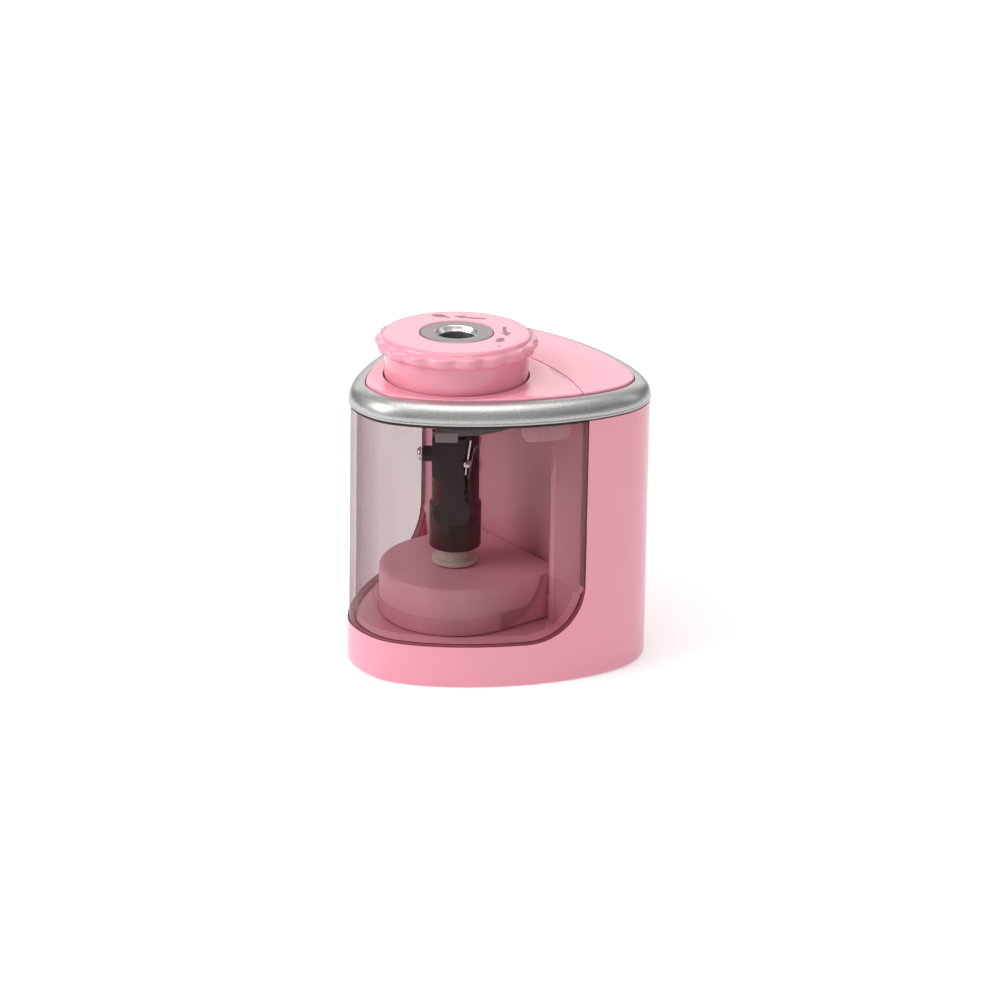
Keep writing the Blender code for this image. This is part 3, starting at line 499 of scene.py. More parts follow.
def arc_hull(circles, per=24):
    """Band round several circles with evenly cut arcs (no stray long chords)."""
    n = 720
    pts, last = [], None
    for i in range(n):
        a = 2 * pi * (i + 0.5) / n
        d = (cos(a), sin(a))
        x, y, r = max(circles, key=lambda c: c[0] * d[0] + c[1] * d[1] + c[2])
        p = (x + r * d[0], y + r * d[1])
        step = max(0.25, r * 2 * pi / 200)
        if last is None or (p[0] - last[0]) ** 2 + (p[1] - last[1]) ** 2 > step * step:
            pts.append(p)
            last = p
    return pts


def fillet_path(pts, radii, n=8):
    """Open polyline with rounded corners; radii per inner vertex."""
    out = [pts[0]]
    for k in range(1, len(pts) - 1):
        p0, p, p1 = Vector(pts[k - 1]), Vector(pts[k]), Vector(pts[k + 1])
        r = radii[k - 1]
        if r <= 0:
            out.append(tuple(p))
            continue
        u, v = (p0 - p).normalized(), (p1 - p).normalized()
        half = u.angle(v) / 2
        d = r / tan(half)
        c = p + (u + v).normalized() * (r / sin(half))
        a, b = p + u * d, p + v * d
        for i in range(n + 1):
            t = i / n
            q = (a - c) * (1 - t) + (b - c) * t
            q = q.normalized() * r
            out.append(tuple(c + q))
    out.append(pts[-1])
    return out


def window_profile(gap, zt, yf=-45.0, n=28):
    ry, rz = WIN_RY - gap, WIN_RZ - gap
    cy, cz = WIN_Y - WIN_RY, WIN_Z + WIN_RZ
    pts = [(WIN_Y - gap, zt)]
    for i in range(n + 1):
        a = pi / 2 * i / n
        pts.append((cy + ry * cos(a), cz - rz * sin(a)))
    return pts + [(yf, WIN_Z + gap), (yf, zt)]


# ================================================================== case shell
def phi_at(y, side):
    """Outline angle where the wall stands at this y, on the side +1 (right) or -1."""
    lo, hi = 0.05, pi - 0.05
    for _ in range(60):
        mid = (lo + hi) / 2
        if hval(mid, 0.0)[1] > y:
            lo = mid
        else:
            hi = mid
    return side * (lo + hi) / 2


cy0, cz0 = WIN_Y - WIN_RY, WIN_Z + WIN_RZ
p_jamb, p_foot = phi_at(WIN_Y, 1), phi_at(cy0, 1)
cols = []                                    # (phi, lower window edge z, is rear)
NR, NC, NF = 54, 30, 96
for i in range(NR + 1):                      # rear, left jamb round the back to right jamb
    p = -p_jamb + 2 * p_jamb * i / NR
    cols.append((p, cz0, True))
for i in range(1, NC + 1):                   # rounded lower corner, right
    a = pi / 2 * i / NC
    y = cy0 + WIN_RY * cos(a)
    cols.append((phi_at(y, 1), cz0 - WIN_RZ * sin(a), False))
for i in range(1, NF):                       # front
    cols.append((p_foot + (2 * pi - 2 * p_foot) * i / NF, WIN_Z, False))
for i in range(NC, 0, -1):
    a = pi / 2 * i / NC
    y = cy0 + WIN_RY * cos(a)
    cols.append((2 * pi + phi_at(y, -1), cz0 - WIN_RZ * sin(a), False))
nc = len(cols)


def shell_mesh(name):
    verts, faces = [], []
    fil = [(1.1 * (1 - sin(a)), 1.1 * (1 - cos(a))) for a in [pi / 2 * i / 6 for i in range(7)]]
    low = 10
    up = 16
    grid = []                                # per column: list of outer indices, bottom to top
    inner = []
    for p, zw, rear in cols:
        o, q = [], []
        zs = [(d, z) for d, z in fil]
        for k in range(1, low + 1):
            zs.append((0.0, 1.1 + (zw - 1.1) * k / low))
        if rear:
            for k in range(1, up + 1):
                zs.append((0.0, zw + (CASE_TOP - zw) * k / up))
        for d, z in zs:
            x, y = hval(p, d - flare(z))
            o.append(len(verts))
            verts.append((x, y, z))
        for d, z in zs:
            x, y = hval(p, WALL - flare(z))
            q.append(len(verts))
            verts.append((x, y, z))
        grid.append(o)
        inner.append(q)
    base = len(fil) + low
    # outer and inner strips take the dark painted shade, the middle strip the lighter painted shade
    strips = (0.0, 0.42, 1.5, WALL)          # across the wall at the window's edge
    mats = {}

    def across(i, k):
        """Extra points on the edge face of column i at row k, outer to inner."""
        key = (i, k)
        if key not in extra:
            p, zw, rear_ = cols[i]
            z = verts[grid[i][k]][2]
            ids = [grid[i][k]]
            for s_ in strips[1:-1]:
                x, y = hval(p, s_ - flare(z))
                ids.append(len(verts))
                verts.append((x, y, z))
            extra[key] = ids + [inner[i][k]]
        return extra[key]

    extra = {}
    for i in range(nc):
        j = (i + 1) % nc
        a, b, c, d = grid[i], grid[j], inner[i], inner[j]
        both = cols[i][2] and cols[j][2]
        top = len(a) if both else base
        for k in range(top - 1):
            faces.append((a[k], b[k], b[k + 1], a[k + 1]))
            faces.append((c[k], c[k + 1], d[k + 1], d[k]))
        faces.append((a[0], c[0], d[0], b[0]))
        if both:
            faces.append((a[top - 1], b[top - 1], d[top - 1], c[top - 1]) if i not in (0, NR - 1) else
                         tuple([a[top - 1], b[top - 1]] + ([across(j, top - 1)[1], across(j, top - 1)[2]] if i == NR - 1 else []) +
                               [d[top - 1], c[top - 1]] + ([across(i, top - 1)[2], across(i, top - 1)[1]] if i == 0 else [])))
        else:
            u, v = across(i, top - 1), across(j, top - 1)
            for s_ in range(3):
                mats[len(faces)] = 2 if s_ == 1 else 1
                faces.append((u[s_], v[s_], v[s_ + 1], u[s_ + 1]))
    for i, sgn in ((0, 1), (NR, -1)):        # upright jamb faces
        for k in range(base - 1, len(grid[i]) - 1):
            u, v = across(i, k), across(i, k + 1)
            for s_ in range(3):
                f = (u[s_], v[s_], v[s_ + 1], u[s_ + 1])
                mats[len(faces)] = 2 if s_ == 1 else 1
                faces.append(f if sgn > 0 else f[::-1])
    ob = raw(name, verts, faces)
    # slots 1 and 2 hold the painted shade of the window's edge
    for m_ in ("pink_plastic", "seam", "seam_mid"):
        ob.data.materials.append(MAT[m_])
    for fi, mi in mats.items():
        ob.data.polygons[fi].material_index = mi
    return ob


shell = shell_mesh("case_shell")
finish_piece(shell, "case", None, ("housing",), bevel=0.32, segs=3, angle=50, smooth=50)
soften(shell)

# chamber wall with its recess, rounded upright corners
def wall_x(y, z):
    lo = phi_at(y, 1)
    for _ in range(4):
        x, yy = hval(lo, 1.0 - flare(z))
        lo += (yy - y) / 40.0
    return hval(lo, 1.0 - flare(z))[0]


t = 1.5
rings_w = []
for z in (9.4, 22.0, 36.0, 50.0, 63.1):
    front = fillet_path([(-wall_x(WIN_Y, z), WIN_Y), (-NICHE_X, WIN_Y), (-NICHE_X, NICHE_Y), (NICHE_X, NICHE_Y), (NICHE_X, WIN_Y), (wall_x(WIN_Y, z), WIN_Y)],
                        [0.9, 1.4, 1.4, 0.9])
    back = fillet_path([(wall_x(WIN_Y + t, z), WIN_Y + t), (NICHE_X + t, WIN_Y + t), (NICHE_X + t, NICHE_Y + t), (-NICHE_X - t, NICHE_Y + t),
                        (-NICHE_X - t, WIN_Y + t), (-wall_x(WIN_Y + t, z), WIN_Y + t)], [0.3, 1.0, 1.0, 0.3])
    rings_w.append([(x, y, z) for x, y in front + back])
finish_piece(loft("case_chamber_wall", rings_w), "case", "pink_inside", (), smooth=40)
floor_m = loft("case_floor", [ring(WALL - flare(8.4) - 0.3, 8.4), ring(WALL - flare(9.9) - 0.3, 9.9)])
cut(floor_m, [prism("a", arc_hull([(0, 0, PED_R - 1.5), (-(PED_R - 2.5), PED_REAR - 2.5, 1.0), (PED_R - 2.5, PED_REAR - 2.5, 1.0)]), 7, 12),
              cyl("c", 7.55, 7, 12, 48, (CELL_X, CELL_Y)), cyl("d", 7.55, 7, 12, 48, (-CELL_X, CELL_Y))])
finish_piece(floor_m, "case", "pink_inside", (), bevel=0.15, segs=2)
for s, nm in ((1, "right"), (-1, "left")):
    finish_piece(lathe("lid_post_" + nm, [(0.95, 62.9), (1.05, 63.1), (2.2, 63.1), (2.35, 62.9), (2.35, 44.2), (2.0, 44.0), (0.95, 44.0)], 48, (s * 21.6, 16.6), closed=True),
                 "case", "pink_inside", ())

# underside: plate, door
SCREWS = [(0.0, -20.4), (28.2, 17.5), (-28.2, 17.5)]
plate = loft("underside_plate", [ring(WALL + 0.35 - flare(0.4) + 0.3, 0.4), ring(WALL + 0.35 - flare(0.7), 0.7), ring(WALL + 0.35 - flare(2.0), 2.0)])
tools = [prism("a", arc_hull([(CELL_X, CELL_Y, 7.9), (-CELL_X, CELL_Y, 7.9)]), -1, 4)]
for c in SCREWS:
    tools.append(lathe("s", [(0, 3), (1.3, 3), (1.3, 1.5), (2.5, 1.5), (2.5, -1), (0, -1)], 48, c))
for k in range(-2, 3):
    tools.append(box("g", -15.0, 15.0, 1.2 * k * 2 - 0.25, 1.2 * k * 2 + 0.25, -1.0, 0.62))
cut(plate, tools)
finish_piece(plate, "case", "pink_plastic", ("bottom_plate",), bevel=0.12, segs=2, angle=40)
door = loft("battery_door_shell", [[(x, y, z) for x, y in hull([(CELL_X, CELL_Y, 7.6 - d), (-CELL_X, CELL_Y, 7.6 - d)], 160)] for d, z in
                                   ((0.3, 0.45), (0.08, 0.53), (0.0, 0.75), (0.0, 1.9))])
tools = [lathe("n", [(0, 1.1), (1.6, 0.95), (3.0, 0.4), (3.0, -1), (0, -1)], 64, (0, CELL_Y + 3.4))]
for s in (1, -1):
    for k in range(5):
        x = s * (9.0 + 2.0 * k)
        tools.append(box("r", x - 0.35, x + 0.35, CELL_Y - 4.2, CELL_Y + 4.2, -1.0, 0.72))
cut(door, tools)
finish_piece(door, "door", "pink_plastic", ("battery_door",), bevel=0.08, segs=2)

# near-black band in the gap between the bin's top edge and the rim: painted shade
verts, faces = [], []
fr_cols = [c for c in cols if not c[2]]
for p, zw, rear_ in fr_cols:
    for ins, z in ((0.35, 62.68), (0.35, 63.28), (1.3, 63.28), (1.3, 62.68)):
        x, y = hval(p, ins)
        verts.append((x, y, z))
for i in range(len(fr_cols) - 1):
    for k in range(4):
        a, b = i * 4 + k, i * 4 + (k + 1) % 4
        faces.append((a, b, b + 4, a + 4))
e = (len(fr_cols) - 1) * 4
faces += [(0, 1, 2, 3), (e, e + 1, e + 2, e + 3)]
finish_piece(raw("rim_gap_shade_band", verts, faces), "case", "gap_dark", (), smooth=40)

# ================================================================== rim, lid, decks
rim_prof = [(3.6, 66.3), (1.2, 64.6), (1.15, 63.55), (1.0, 63.35), (0.25, 63.3), (0.05, 63.32), (-0.08, 63.4), (-0.13, 63.55), (-0.13, 63.78),
            (-0.05, 63.9), (-0.08, 64.1)]
for i in range(1, 21):                        # the quarter round
    u = i / 20
    a = radians(4 + 84 * u)
    rim_prof.append((3.55 - 3.66 * cos(a) ** 0.92, 64.1 + 3.85 * sin(a) ** 1.05 - 0.12 * u * u))
rim_prof += [(3.56, 67.82), (3.64, 67.78), (3.68, 67.65)]
rim = loft("rim_shell", [ring(d, z) for d, z in rim_prof], closed=True)
finish_piece(rim, "case", "silver_paint", ("trim_rim",), smooth=46)

arc_pts = [(64.5 * sin(radians(a)), 21.0 - 64.5 + 64.5 * cos(radians(a))) for a in [k * 0.5 for k in range(-72, 73)]]


def deck_side(shift, rear):
    pts = [(x, y + shift) for x, y in arc_pts]
    return pts + ([(45, 60), (-45, 60)] if rear else [(45, -45), (-45, -45)])


def deck_blank(name):
    """Panel with a rounded outer edge; a little proud of the rim's inner lip."""
    return loft(name, [ring(3.9, 66.5), ring(3.9, 67.9), ring(3.93, 68.05), ring(4.02, 68.18), ring(4.16, 68.27), ring(4.35, 68.3)])


front = deck_blank("deck_front")
cut(front, [prism("c", deck_side(-0.13, True), 60, 75)])
dish = [(0, 66.0), (16.86, 66.0), (16.86, 68.0)]
for i in range(0, 13):
    u = i / 12
    dish.append((17.0 + 3.9 * u, 67.98 + 0.32 * (1 - cos(pi * u)) / 2 + (0.012 if i == 12 else 0)))
dish += [(20.9, 70.0), (0, 70.0)]
cut(front, [lathe("dish", dish, 192)])
cut(front, [cyl("h", 16.86, 60, 75, 192)])
finish_piece(front, "case", "pink_plastic", ("front_deck",), bevel=0.07, segs=2, angle=50, smooth=42)
rear = deck_blank("deck_rear")
cut(rear, [prism("c", deck_side(0.13, False), 60, 75)])
finish_piece(rear, "case", "pink_plastic", ("rear_deck",), bevel=0.07, segs=2, angle=50, smooth=42)

lid = prism("lid_underframe", outline(3.95), 63.5, 66.2)
cut(lid, [cyl("b", 14.6, 60.9, 64.0, 96)], "UNION")
cut(lid, [cyl("h", 12.7, 58, 70, 96)] + [lathe("sc", [(0, 70), (2.4, 70), (2.4, 64.9), (1.3, 64.9), (1.3, 60), (0, 60)], 40, (s * 21.6, 16.6)) for s in (1, -1)])
finish_piece(lid, "case", "pink_inside", ("lid_frame",), bevel=0.12, segs=2)
for s in (1, -1):
    nm = "right" if s > 0 else "left"
    side_o, side_i = [], []
    for i in range(13):
        p = radians(s * (116 - 10 * i / 12))
        side_o.append(hval(p, 2.3))
        side_i.append(hval(p, 3.5))
    # tab with rounded lower corners, built as a strip
    verts, faces = [], []
    for i in range(13):
        u = i / 12
        e = min(u, 1 - u) * 11.0
        r = 1.9
        zb = 58.4 + (r - sqrt(max(0.0, r * r - (r - e) ** 2)) if e < r else 0.0)
        for (x, y), z in ((side_o[i], 63.2), (side_i[i], 63.2), (side_i[i], zb), (side_o[i], zb)):
            verts.append((x, y, z))
    for i in range(12):
        for k in range(4):
            a, b = i * 4 + k, i * 4 + (k + 1) % 4
            faces.append((a, b, b + 4, a + 4))
    faces += [(0, 1, 2, 3), (48, 49, 50, 51)]
    finish_piece(raw("guide_tab_" + nm, verts, faces), "case", "frosted_plastic", ("bin_guide_" + nm,), bevel=0.25, segs=3, angle=45)

# ================================================================== knob
N_K = 18 * 18


def knob_ring(r, z, k):
    out = []
    for i in range(N_K):
        a = FACE + 2 * pi * i / N_K
        w = 0.5 - 0.5 * cos(18 * (a - FACE))
        rr = r - 0.85 * k * (1 - w ** 0.7)
        out.append((rr * cos(a), rr * sin(a), z))
    return out


rows = [(12.2, 58.4, 0), (12.2, 66.7, 0), (16.1, 66.72, 0), (16.38, 66.8, 0), (16.5, 67.05, 0), (16.5, 69.0, 0), (16.5, 71.0, 0), (16.5, 73.2, 0), (16.52, 73.75, 0),
        (16.62, 74.1, 0.05), (16.85, 74.3, 0.15), (17.2, 74.38, 0.35), (17.6, 74.42, 0.6), (17.95, 74.5, 0.8), (18.22, 74.66, 0.9), (18.42, 74.92, 0.97),
        (18.55, 75.25, 1.0), (18.64, 75.65, 1.0), (18.68, 76.0, 1.0), (18.64, 76.3, 0.97), (18.5, 76.58, 0.88), (18.26, 76.8, 0.74), (17.96, 76.94, 0.58),
        (17.64, 77.02, 0.42), (17.36, 77.08, 0.28), (17.14, 77.18, 0.16), (16.98, 77.34, 0.08), (16.86, 77.54, 0.03), (16.68, 77.74, 0), (16.42, 77.89, 0),
        (16.05, 77.97, 0), (15.5, 78.0, 0), (12.0, 78.0, 0), (9.2, 78.0, 0), (8.62, 77.98, 0), (8.5, 77.86, 0), (8.5, 74.0, 0), (8.5, 58.4, 0)]
knob = loft("knob_shell", [knob_ring(*r) for r in rows], closed=True)
finish_piece(knob, "knob", "pink_plastic", ("adjuster_knob",), smooth=50)


def mark(name, pts):
    finish_piece(prism(name, pts, 77.93, 78.025), "knob", "ink", smooth=30)


def arrow(name, tail, tip, width, head, headw, bend=0.0):
    a, b = Vector(tail), Vector(tip)
    d = (b - a)
    L = d.length
    u = d.normalized()
    v = Vector((-u.y, u.x))
    pts = []
    n = 10
    for i in range(n + 1):
        s = i / n * (L - head)
        k = bend * sin(pi * i / n)
        pts.append(a + u * s + v * (width / 2 + k))
    pts.append(a + u * (L - head) + v * (headw / 2))
    pts.append(b)
    pts.append(a + u * (L - head) - v * (headw / 2))
    for i in range(n, -1, -1):
        s = i / n * (L - head)
        k = bend * sin(pi * i / n)
        pts.append(a + u * s - v * (width / 2 - k))
    mark(name, [(p.x, p.y) for p in pts])


def disc(name, c, rx, ry, ang):
    pts = []
    for i in range(28):
        a = 2 * pi * i / 28
        x, y = rx * cos(a), ry * sin(a)
        pts.append((c[0] + x * cos(ang) - y * sin(ang), c[1] + x * sin(ang) + y * cos(ang)))
    mark(name, pts)


arrow("mark_arrow_a", (-4.4, 11.6), (-10.4, 6.6), 0.85, 2.6, 2.5, 0.3)
disc("mark_blunt", (-12.5, 4.1), 1.8, 1.15, radians(35))
disc("mark_dot_a", (-10.2, 4.9), 0.5, 0.5, 0)
arrow("mark_arrow_b", (3.3, 11.3), (9.1, 7.4), 0.85, 2.6, 2.5, -0.3)
disc("mark_fine", (10.7, 4.3), 1.7, 0.95, radians(-50))
disc("mark_dot_b", (14.1, 1.5), 0.36, 0.36, 0)

guide = lathe("guide_shell", [(8.28, 76.7), (8.34, 77.6), (8.3, 77.86), (8.2, 77.96), (8.05, 78.0), (5.3, 78.0), (5.15, 77.96), (5.04, 77.86),
                              (4.9, 77.6), (4.74, 77.35), (4.56, 77.1), (4.4, 76.9), (4.29, 76.76), (4.25, 76.65), (4.25, 66.5),
                              (4.35, 66.4), (6.1, 66.4), (6.2, 66.5), (6.2, 76.6)], 160, closed=True)
finish_piece(guide, "knob", "guide_steel", ("pencil_guide",), smooth=35)
guide.data.materials.append(MAT["guide_bore"])
guide.data.materials.append(MAT["guide_deep"])
for f in guide.data.polygons:
    c = f.center
    r = sqrt((c.x * 1000) ** 2 + (c.y * 1000 - SPINDLE_Y) ** 2)
    if r < 5.2 and c.z < 0.07799:
        f.material_index = 1
    if r < 4.35 and c.z < 0.07672:
        f.material_index = 2

CF = Matrix.Rotation(FACE, 4, 'Z')
ret = lathe("retainer_ring", [(12.5, 58.5), (12.6, 58.4), (15.95, 58.4), (16.1, 58.55), (16.1, 60.45), (15.95, 60.6), (12.6, 60.6), (12.5, 60.5)], 144, closed=True, turn=FACE)
cut(ret, [box("gap", 4.0, 18.0, -18.0, -4.3, 56.0, 62.0, m=CF)])
finish_piece(ret, "knob", "grey_plastic", ("knob_retainer",), smooth=50)
lug = box("retainer_lug", 14.6, 16.3, -4.3, 0.8, 56.9, 59.4, m=CF)
finish_piece(lug, "knob", "grey_lug", (), bevel=0.35, segs=4)

# ================================================================== gear cover
def ped(d):
    return [(x, y) for x, y in hull([(0, 0, PED_R - d), (-(PED_R - 1.4), PED_REAR - 1.4, 1.4 - d), (PED_R - 1.4, PED_REAR - 1.4, 1.4 - d)], 260)]


prof = [(0.0, 10.2), (0.0, PED_TOP - 1.25)] + [(1.25 * (1 - cos(radians(a))), PED_TOP - 1.25 + 1.25 * sin(radians(a))) for a in range(12, 91, 13)]
cover = loft("gear_cover_shell", [[(x, y, z) for x, y in ped(d)] for d, z in prof])
cut(cover, [prism("i", hull([(0, 0, PED_R - 1.6), (-(PED_R - 3.0), PED_REAR - 3.0, 1.2), (PED_R - 3.0, PED_REAR - 3.0, 1.2)], 120), 7, PED_TOP - 1.6),
            cyl("c", 3.72, 10, 25, 64)])
finish_piece(cover, "case", "pink_inside", ("gear_cover",), smooth=40)

# ================================================================== hub and cutter head
hub = lathe("hub_shell", [(3.5, 25.4), (3.65, 25.25), (3.65, 23.25), (3.75, 23.0), (3.95, 22.9), (5.25, 22.9), (5.4, 22.78), (5.4, 22.05), (5.3, 21.95), (2.4, 21.95), (2.4, 6.1),
                         (0.95, 6.1), (0.95, 25.4)], 96, closed=True)
nose = lathe("n", [(0, 27.3), (3.1, 27.3), (3.3, 27.1), (3.3, 25.1), (0, 25.1)], 6)
cut(nose, [cyl("nb", 0.95, 24, 29, 48)])
cut(hub, [nose], "UNION")
finish_piece(hub, "spindle", "cream_plastic", ("spindle_hub",), smooth=40)

C0, R0, C1, R1 = 31.0, 0.9, 50.0, 4.3
HALF = atan2(R1 - R0, C1 - C0)
prof = [(0, C0), (R0, C0), (R1, C1), (R1 + 0.15, 54.45), (R1 + 0.3, 54.6), (5.4, 54.6), (5.55, 54.45), (5.55, 37.6), (5.62, 37.2), (5.8, 36.95), (6.0, 36.8), (6.1, 36.55), (6.1, 26.45),
        (6.02, 26.15), (5.8, 26.0), (0, 26.0)]
holder = lathe("holder_shell", prof, 96, m=CF)
cut(holder, [lathe("hx", [(0, 30.3), (3.6, 30.3), (3.6, 25.8), (0, 25.8)], 6), cyl("rd", 4.0, 25.0, 26.9, 64),
             box("fr", 4.3, 9, -6.4, 6.4, 33.2, 56, m=CF)])
BF = CF @ Matrix.Rotation(radians(78), 4, 'Z')
PLANE = BF @ Matrix.Translation((R0 - 0.45, 0, C0)) @ Matrix.Rotation(HALF, 4, 'Y')
cut(holder, [box("bf", 0.0, 1.3, -4.6, 6.6, 3.0, 21.0, m=PLANE)])
# pointed relief in the front of the cup
vee = [(5.45, -1.45, 33.4), (5.45, 1.45, 33.4), (5.45, 0.0, 27.1), (8.0, -1.45, 33.4), (8.0, 1.45, 33.4), (8.0, 0.0, 27.1)]
cut(holder, [raw("v", [tuple(CF @ Vector(p)) for p in vee], [(0, 1, 2), (3, 4, 5), (0, 1, 4, 3), (1, 2, 5, 4), (2, 0, 3, 5)])])
screw_m = PLANE @ Matrix.Translation((0.0, 3.2, 14.4)) @ Matrix.Rotation(pi / 2, 4, 'Y')
cut(holder, [cyl("h2", 1.15, -1.6, 1.0, 32, m=screw_m), cyl("h3", 2.2, 0.7, 9.0, 40, m=screw_m)])
finish_piece(holder, "cutter", "dark_smoke", ("cutter_holder",), smooth=35)
# dark lining behind the pointed relief
vl = [(5.12, -1.3, 33.3), (5.12, 1.3, 33.3), (5.12, 0.0, 27.6), (5.42, -1.3, 33.3), (5.42, 1.3, 33.3), (5.42, 0.0, 27.6)]
finish_piece(raw("holder_relief", [tuple(CF @ Vector(p)) for p in vl], [(0, 1, 2), (3, 4, 5), (0, 1, 4, 3), (1, 2, 5, 4), (2, 0, 3, 5)]),
             "cutter", "black_plastic", (), smooth=20)
blade = box("blade_ground", 0.3, 0.8, -0.9, 6.4, 3.6, 20.2, m=PLANE)
cut(blade, [cyl("h", 1.25, -2, 4, 32, m=screw_m)])
finish_piece(blade, "cutter", "steel", ("cutter_blade",), bevel=0.12, segs=2)
bs = lathe("blade_screw_head", [(0, 2.75), (0.6, 2.7), (1.15, 2.5), (1.6, 2.15), (1.9, 1.7), (2.0, 1.3), (1.95, 1.1), (0.95, 1.1), (0.95, -0.9), (0, -0.9)], 40, m=screw_m)
cut(bs, [box("sl", -0.28, 0.28, -3, 3, 2.15, 3.2, m=screw_m)])
finish_piece(bs, "cutter", "chrome", ("blade_screw",), bevel=0.06, segs=2)
# blade clip: bright wire beside the block and its rounded pad
rod = [CF @ Vector((5.9, 3.55, 54.0)), CF @ Vector((5.9, 2.35, 45.4))]
d = (rod[1] - rod[0]).normalized()
up = Vector((0, 0, 1))
q = d.to_track_quat('Z', 'Y').to_matrix().to_4x4()
L = (rod[1] - rod[0]).length
finish_piece(lathe("clip_wire", [(0, 0), (0.16, 0.03), (0.24, 0.12), (0.24, L - 0.1), (0.16, L - 0.02), (0, L)], 20, m=Matrix.Translation(rod[0]) @ q), "cutter", "chrome", ())
padm = CF @ Matrix.Translation((6.15, 2.75, 48.3)) @ Matrix.Rotation(pi / 2, 4, 'Y')
finish_piece(lathe("clip_pad", [(0, 0.0), (0.95, 0.0), (1.05, 0.25), (1.0, 0.7), (0.8, 1.15), (0.5, 1.4), (0.2, 1.5), (0, 1.52)], 32, m=padm), "cutter", "chrome", ())

blk = [(-5.3, 54.2), (-5.3, 45.2), (-4.2, 44.2), (-3.0, 43.4), (-3.0, 38.8), (-4.9, 37.6), (-4.9, 34.9), (-3.9, 33.4), (-2.0, 33.1), (1.0, 33.1),
       (2.9, 33.5), (3.4, 35.0), (3.4, 37.8), (2.3, 39.0), (2.3, 44.0), (2.0, 47.0), (2.6, 54.2)]
nb = len(blk)
bv = [tuple(CF @ Vector((x, y, z))) for x in (4.6, 6.3) for y, z in blk]
block = raw("block_shell", bv, [tuple(range(nb)), tuple(range(nb, 2 * nb))] + [(i, (i + 1) % nb, nb + (i + 1) % nb, nb + i) for i in range(nb)])
lg = cyl("lug", 2.1, 0.0, 3.6, 6, m=CF @ Matrix.Translation((4.4, -3.9, 50.3)) @ Matrix.Rotation(pi / 2, 4, 'X'))
cut(lg, [box("lt", 4.6, 8.0, -9.0, -3.0, 46, 55, m=CF)], "INTERSECT")
cut(block, [lg], "UNION")
finish_piece(block, "cutter", "black_plastic", ("cutter_block",), bevel=0.22, segs=3, angle=30)
for nm, off, rr in (("block_screw_head", (6.0, -7.5, 50.6), 1.6),):
    sm = CF @ Matrix.Translation(off) @ Matrix.Rotation(pi / 2, 4, 'X')
    b = lathe(nm, [(0, 1.3), (0.7, 1.27), (1.1, 1.15), (1.4, 0.95), (1.58, 0.65), (rr, 0.3), (0, 0.3)], 40, m=sm)
    cut(b, [box("sl", -0.22, 0.22, -3, 3, 0.85, 2.0, m=sm)])
    finish_piece(b, "cutter", "chrome", ("block_screw",), bevel=0.05, segs=2)

# ================================================================== shavings bin
GAP, TH, TOP, REAR_TOP = 0.35, 1.5, 62.6, 21.4
binb = loft("bin_shell", [ring(GAP - flare(WIN_Z), WIN_Z), ring(GAP - flare(24.0), 24.0), ring(GAP, TOP)])
cut(binb, [side_prism("w", window_profile(0.3, TOP + 5), -45, 45)], "INTERSECT")
cav = loft("cav", [ring(GAP + TH - flare(WIN_Z), WIN_Z), ring(GAP + TH, TOP + 2)])
cut(cav, [side_prism("w", window_profile(0.3 + TH, TOP + 8), -45, 45)], "INTERSECT")


def u_shape(r, back=40.0):
    n = 72
    pts = [(r * cos(pi + pi * i / n), r * sin(pi + pi * i / n)) for i in range(n + 1)]
    return pts + [(r, back), (-r, back)]


cut(cav, [prism("k", u_shape(PED_R + 1.5), 0, 14.5)])
cut(binb, [cav])
cut(binb, [prism("u", u_shape(PED_R + 0.35), 0, 80)])
ro = loft("o", [ring(GAP + TH - flare(WIN_Z), WIN_Z), ring(GAP + TH, TOP + 2)])
cut(ro, [box("ob", -45, 45, 4.0, 22.0, REAR_TOP, 80)], "INTERSECT")
cut(binb, [ro])
finish_piece(binb, "bin", "smoky_clear", ("shavings_bin",), smooth=30)
binb.data.materials.append(MAT["bin_lip"])
binb.data.materials.append(MAT["bin_thin"])
for f in binb.data.polygons:
    nrm, c = f.normal, f.center * 1000
    # end faces by the jamb and top faces under the rim take the painted shade
    if abs(nrm.y) > 0.98 and c.y - SPINDLE_Y > WIN_Y - 0.6 and c.z > 22:
        f.material_index = 1
    if nrm.z > 0.9 and c.z > TOP - 0.3:
        f.material_index = 1
    rad = sqrt(c.x ** 2 + (c.y - SPINDLE_Y) ** 2)
    if c.z < 14.7 and (abs(nrm.z) > 0.9 or (rad < 19.8 and abs(nrm.z) < 0.1)):
        f.material_index = 2
    if abs(nrm.x) < 0.01 and c.z < 23.0 and c.y - SPINDLE_Y > -2.0:      # rear ramps
        f.material_index = 2

# ================================================================== what stays from the frame
for sp in frame["record"]["subparts"]:
    ob = nodes.get(sp["node"])
    if ob is None or ob.hide_render:
        continue
    sl = sp["material_slot"]
    key = sl if sl in MAT else "steel"
    # the frame's pink parts take the lighter copy of the pink, painted light
    if sl == "pink_plastic":
        key = "pink_inside"
    ob.data.materials.clear()
    ob.data.materials.append(MAT[key])

# ================================================================== set: floor, light, camera
def floor_mat():
    k = Nodes("floor_pale")
    c = k.ramp(k.noise(6.0, 2.0), [(0.3, (0.86, 0.86, 0.86)), (0.7, (0.89, 0.89, 0.89))])
    p = k.principled(c, 0.85, 0.0, Specular_IOR_Level=0.1)
    p.inputs["Emission Color"].default_value = (1, 1, 1, 1)
    p.inputs["Emission Strength"].default_value = 0.26
    return k.done(p.outputs[0])


me = bpy.data.meshes.new("floor")
me.from_pydata([(-3, -3, 0), (3, -3, 0), (3, 3, 0), (-3, 3, 0)], [], [(0, 1, 2, 3)])
me.materials.append(floor_mat())
flo = bpy.data.objects.new("floor", me)
coll.objects.link(flo)

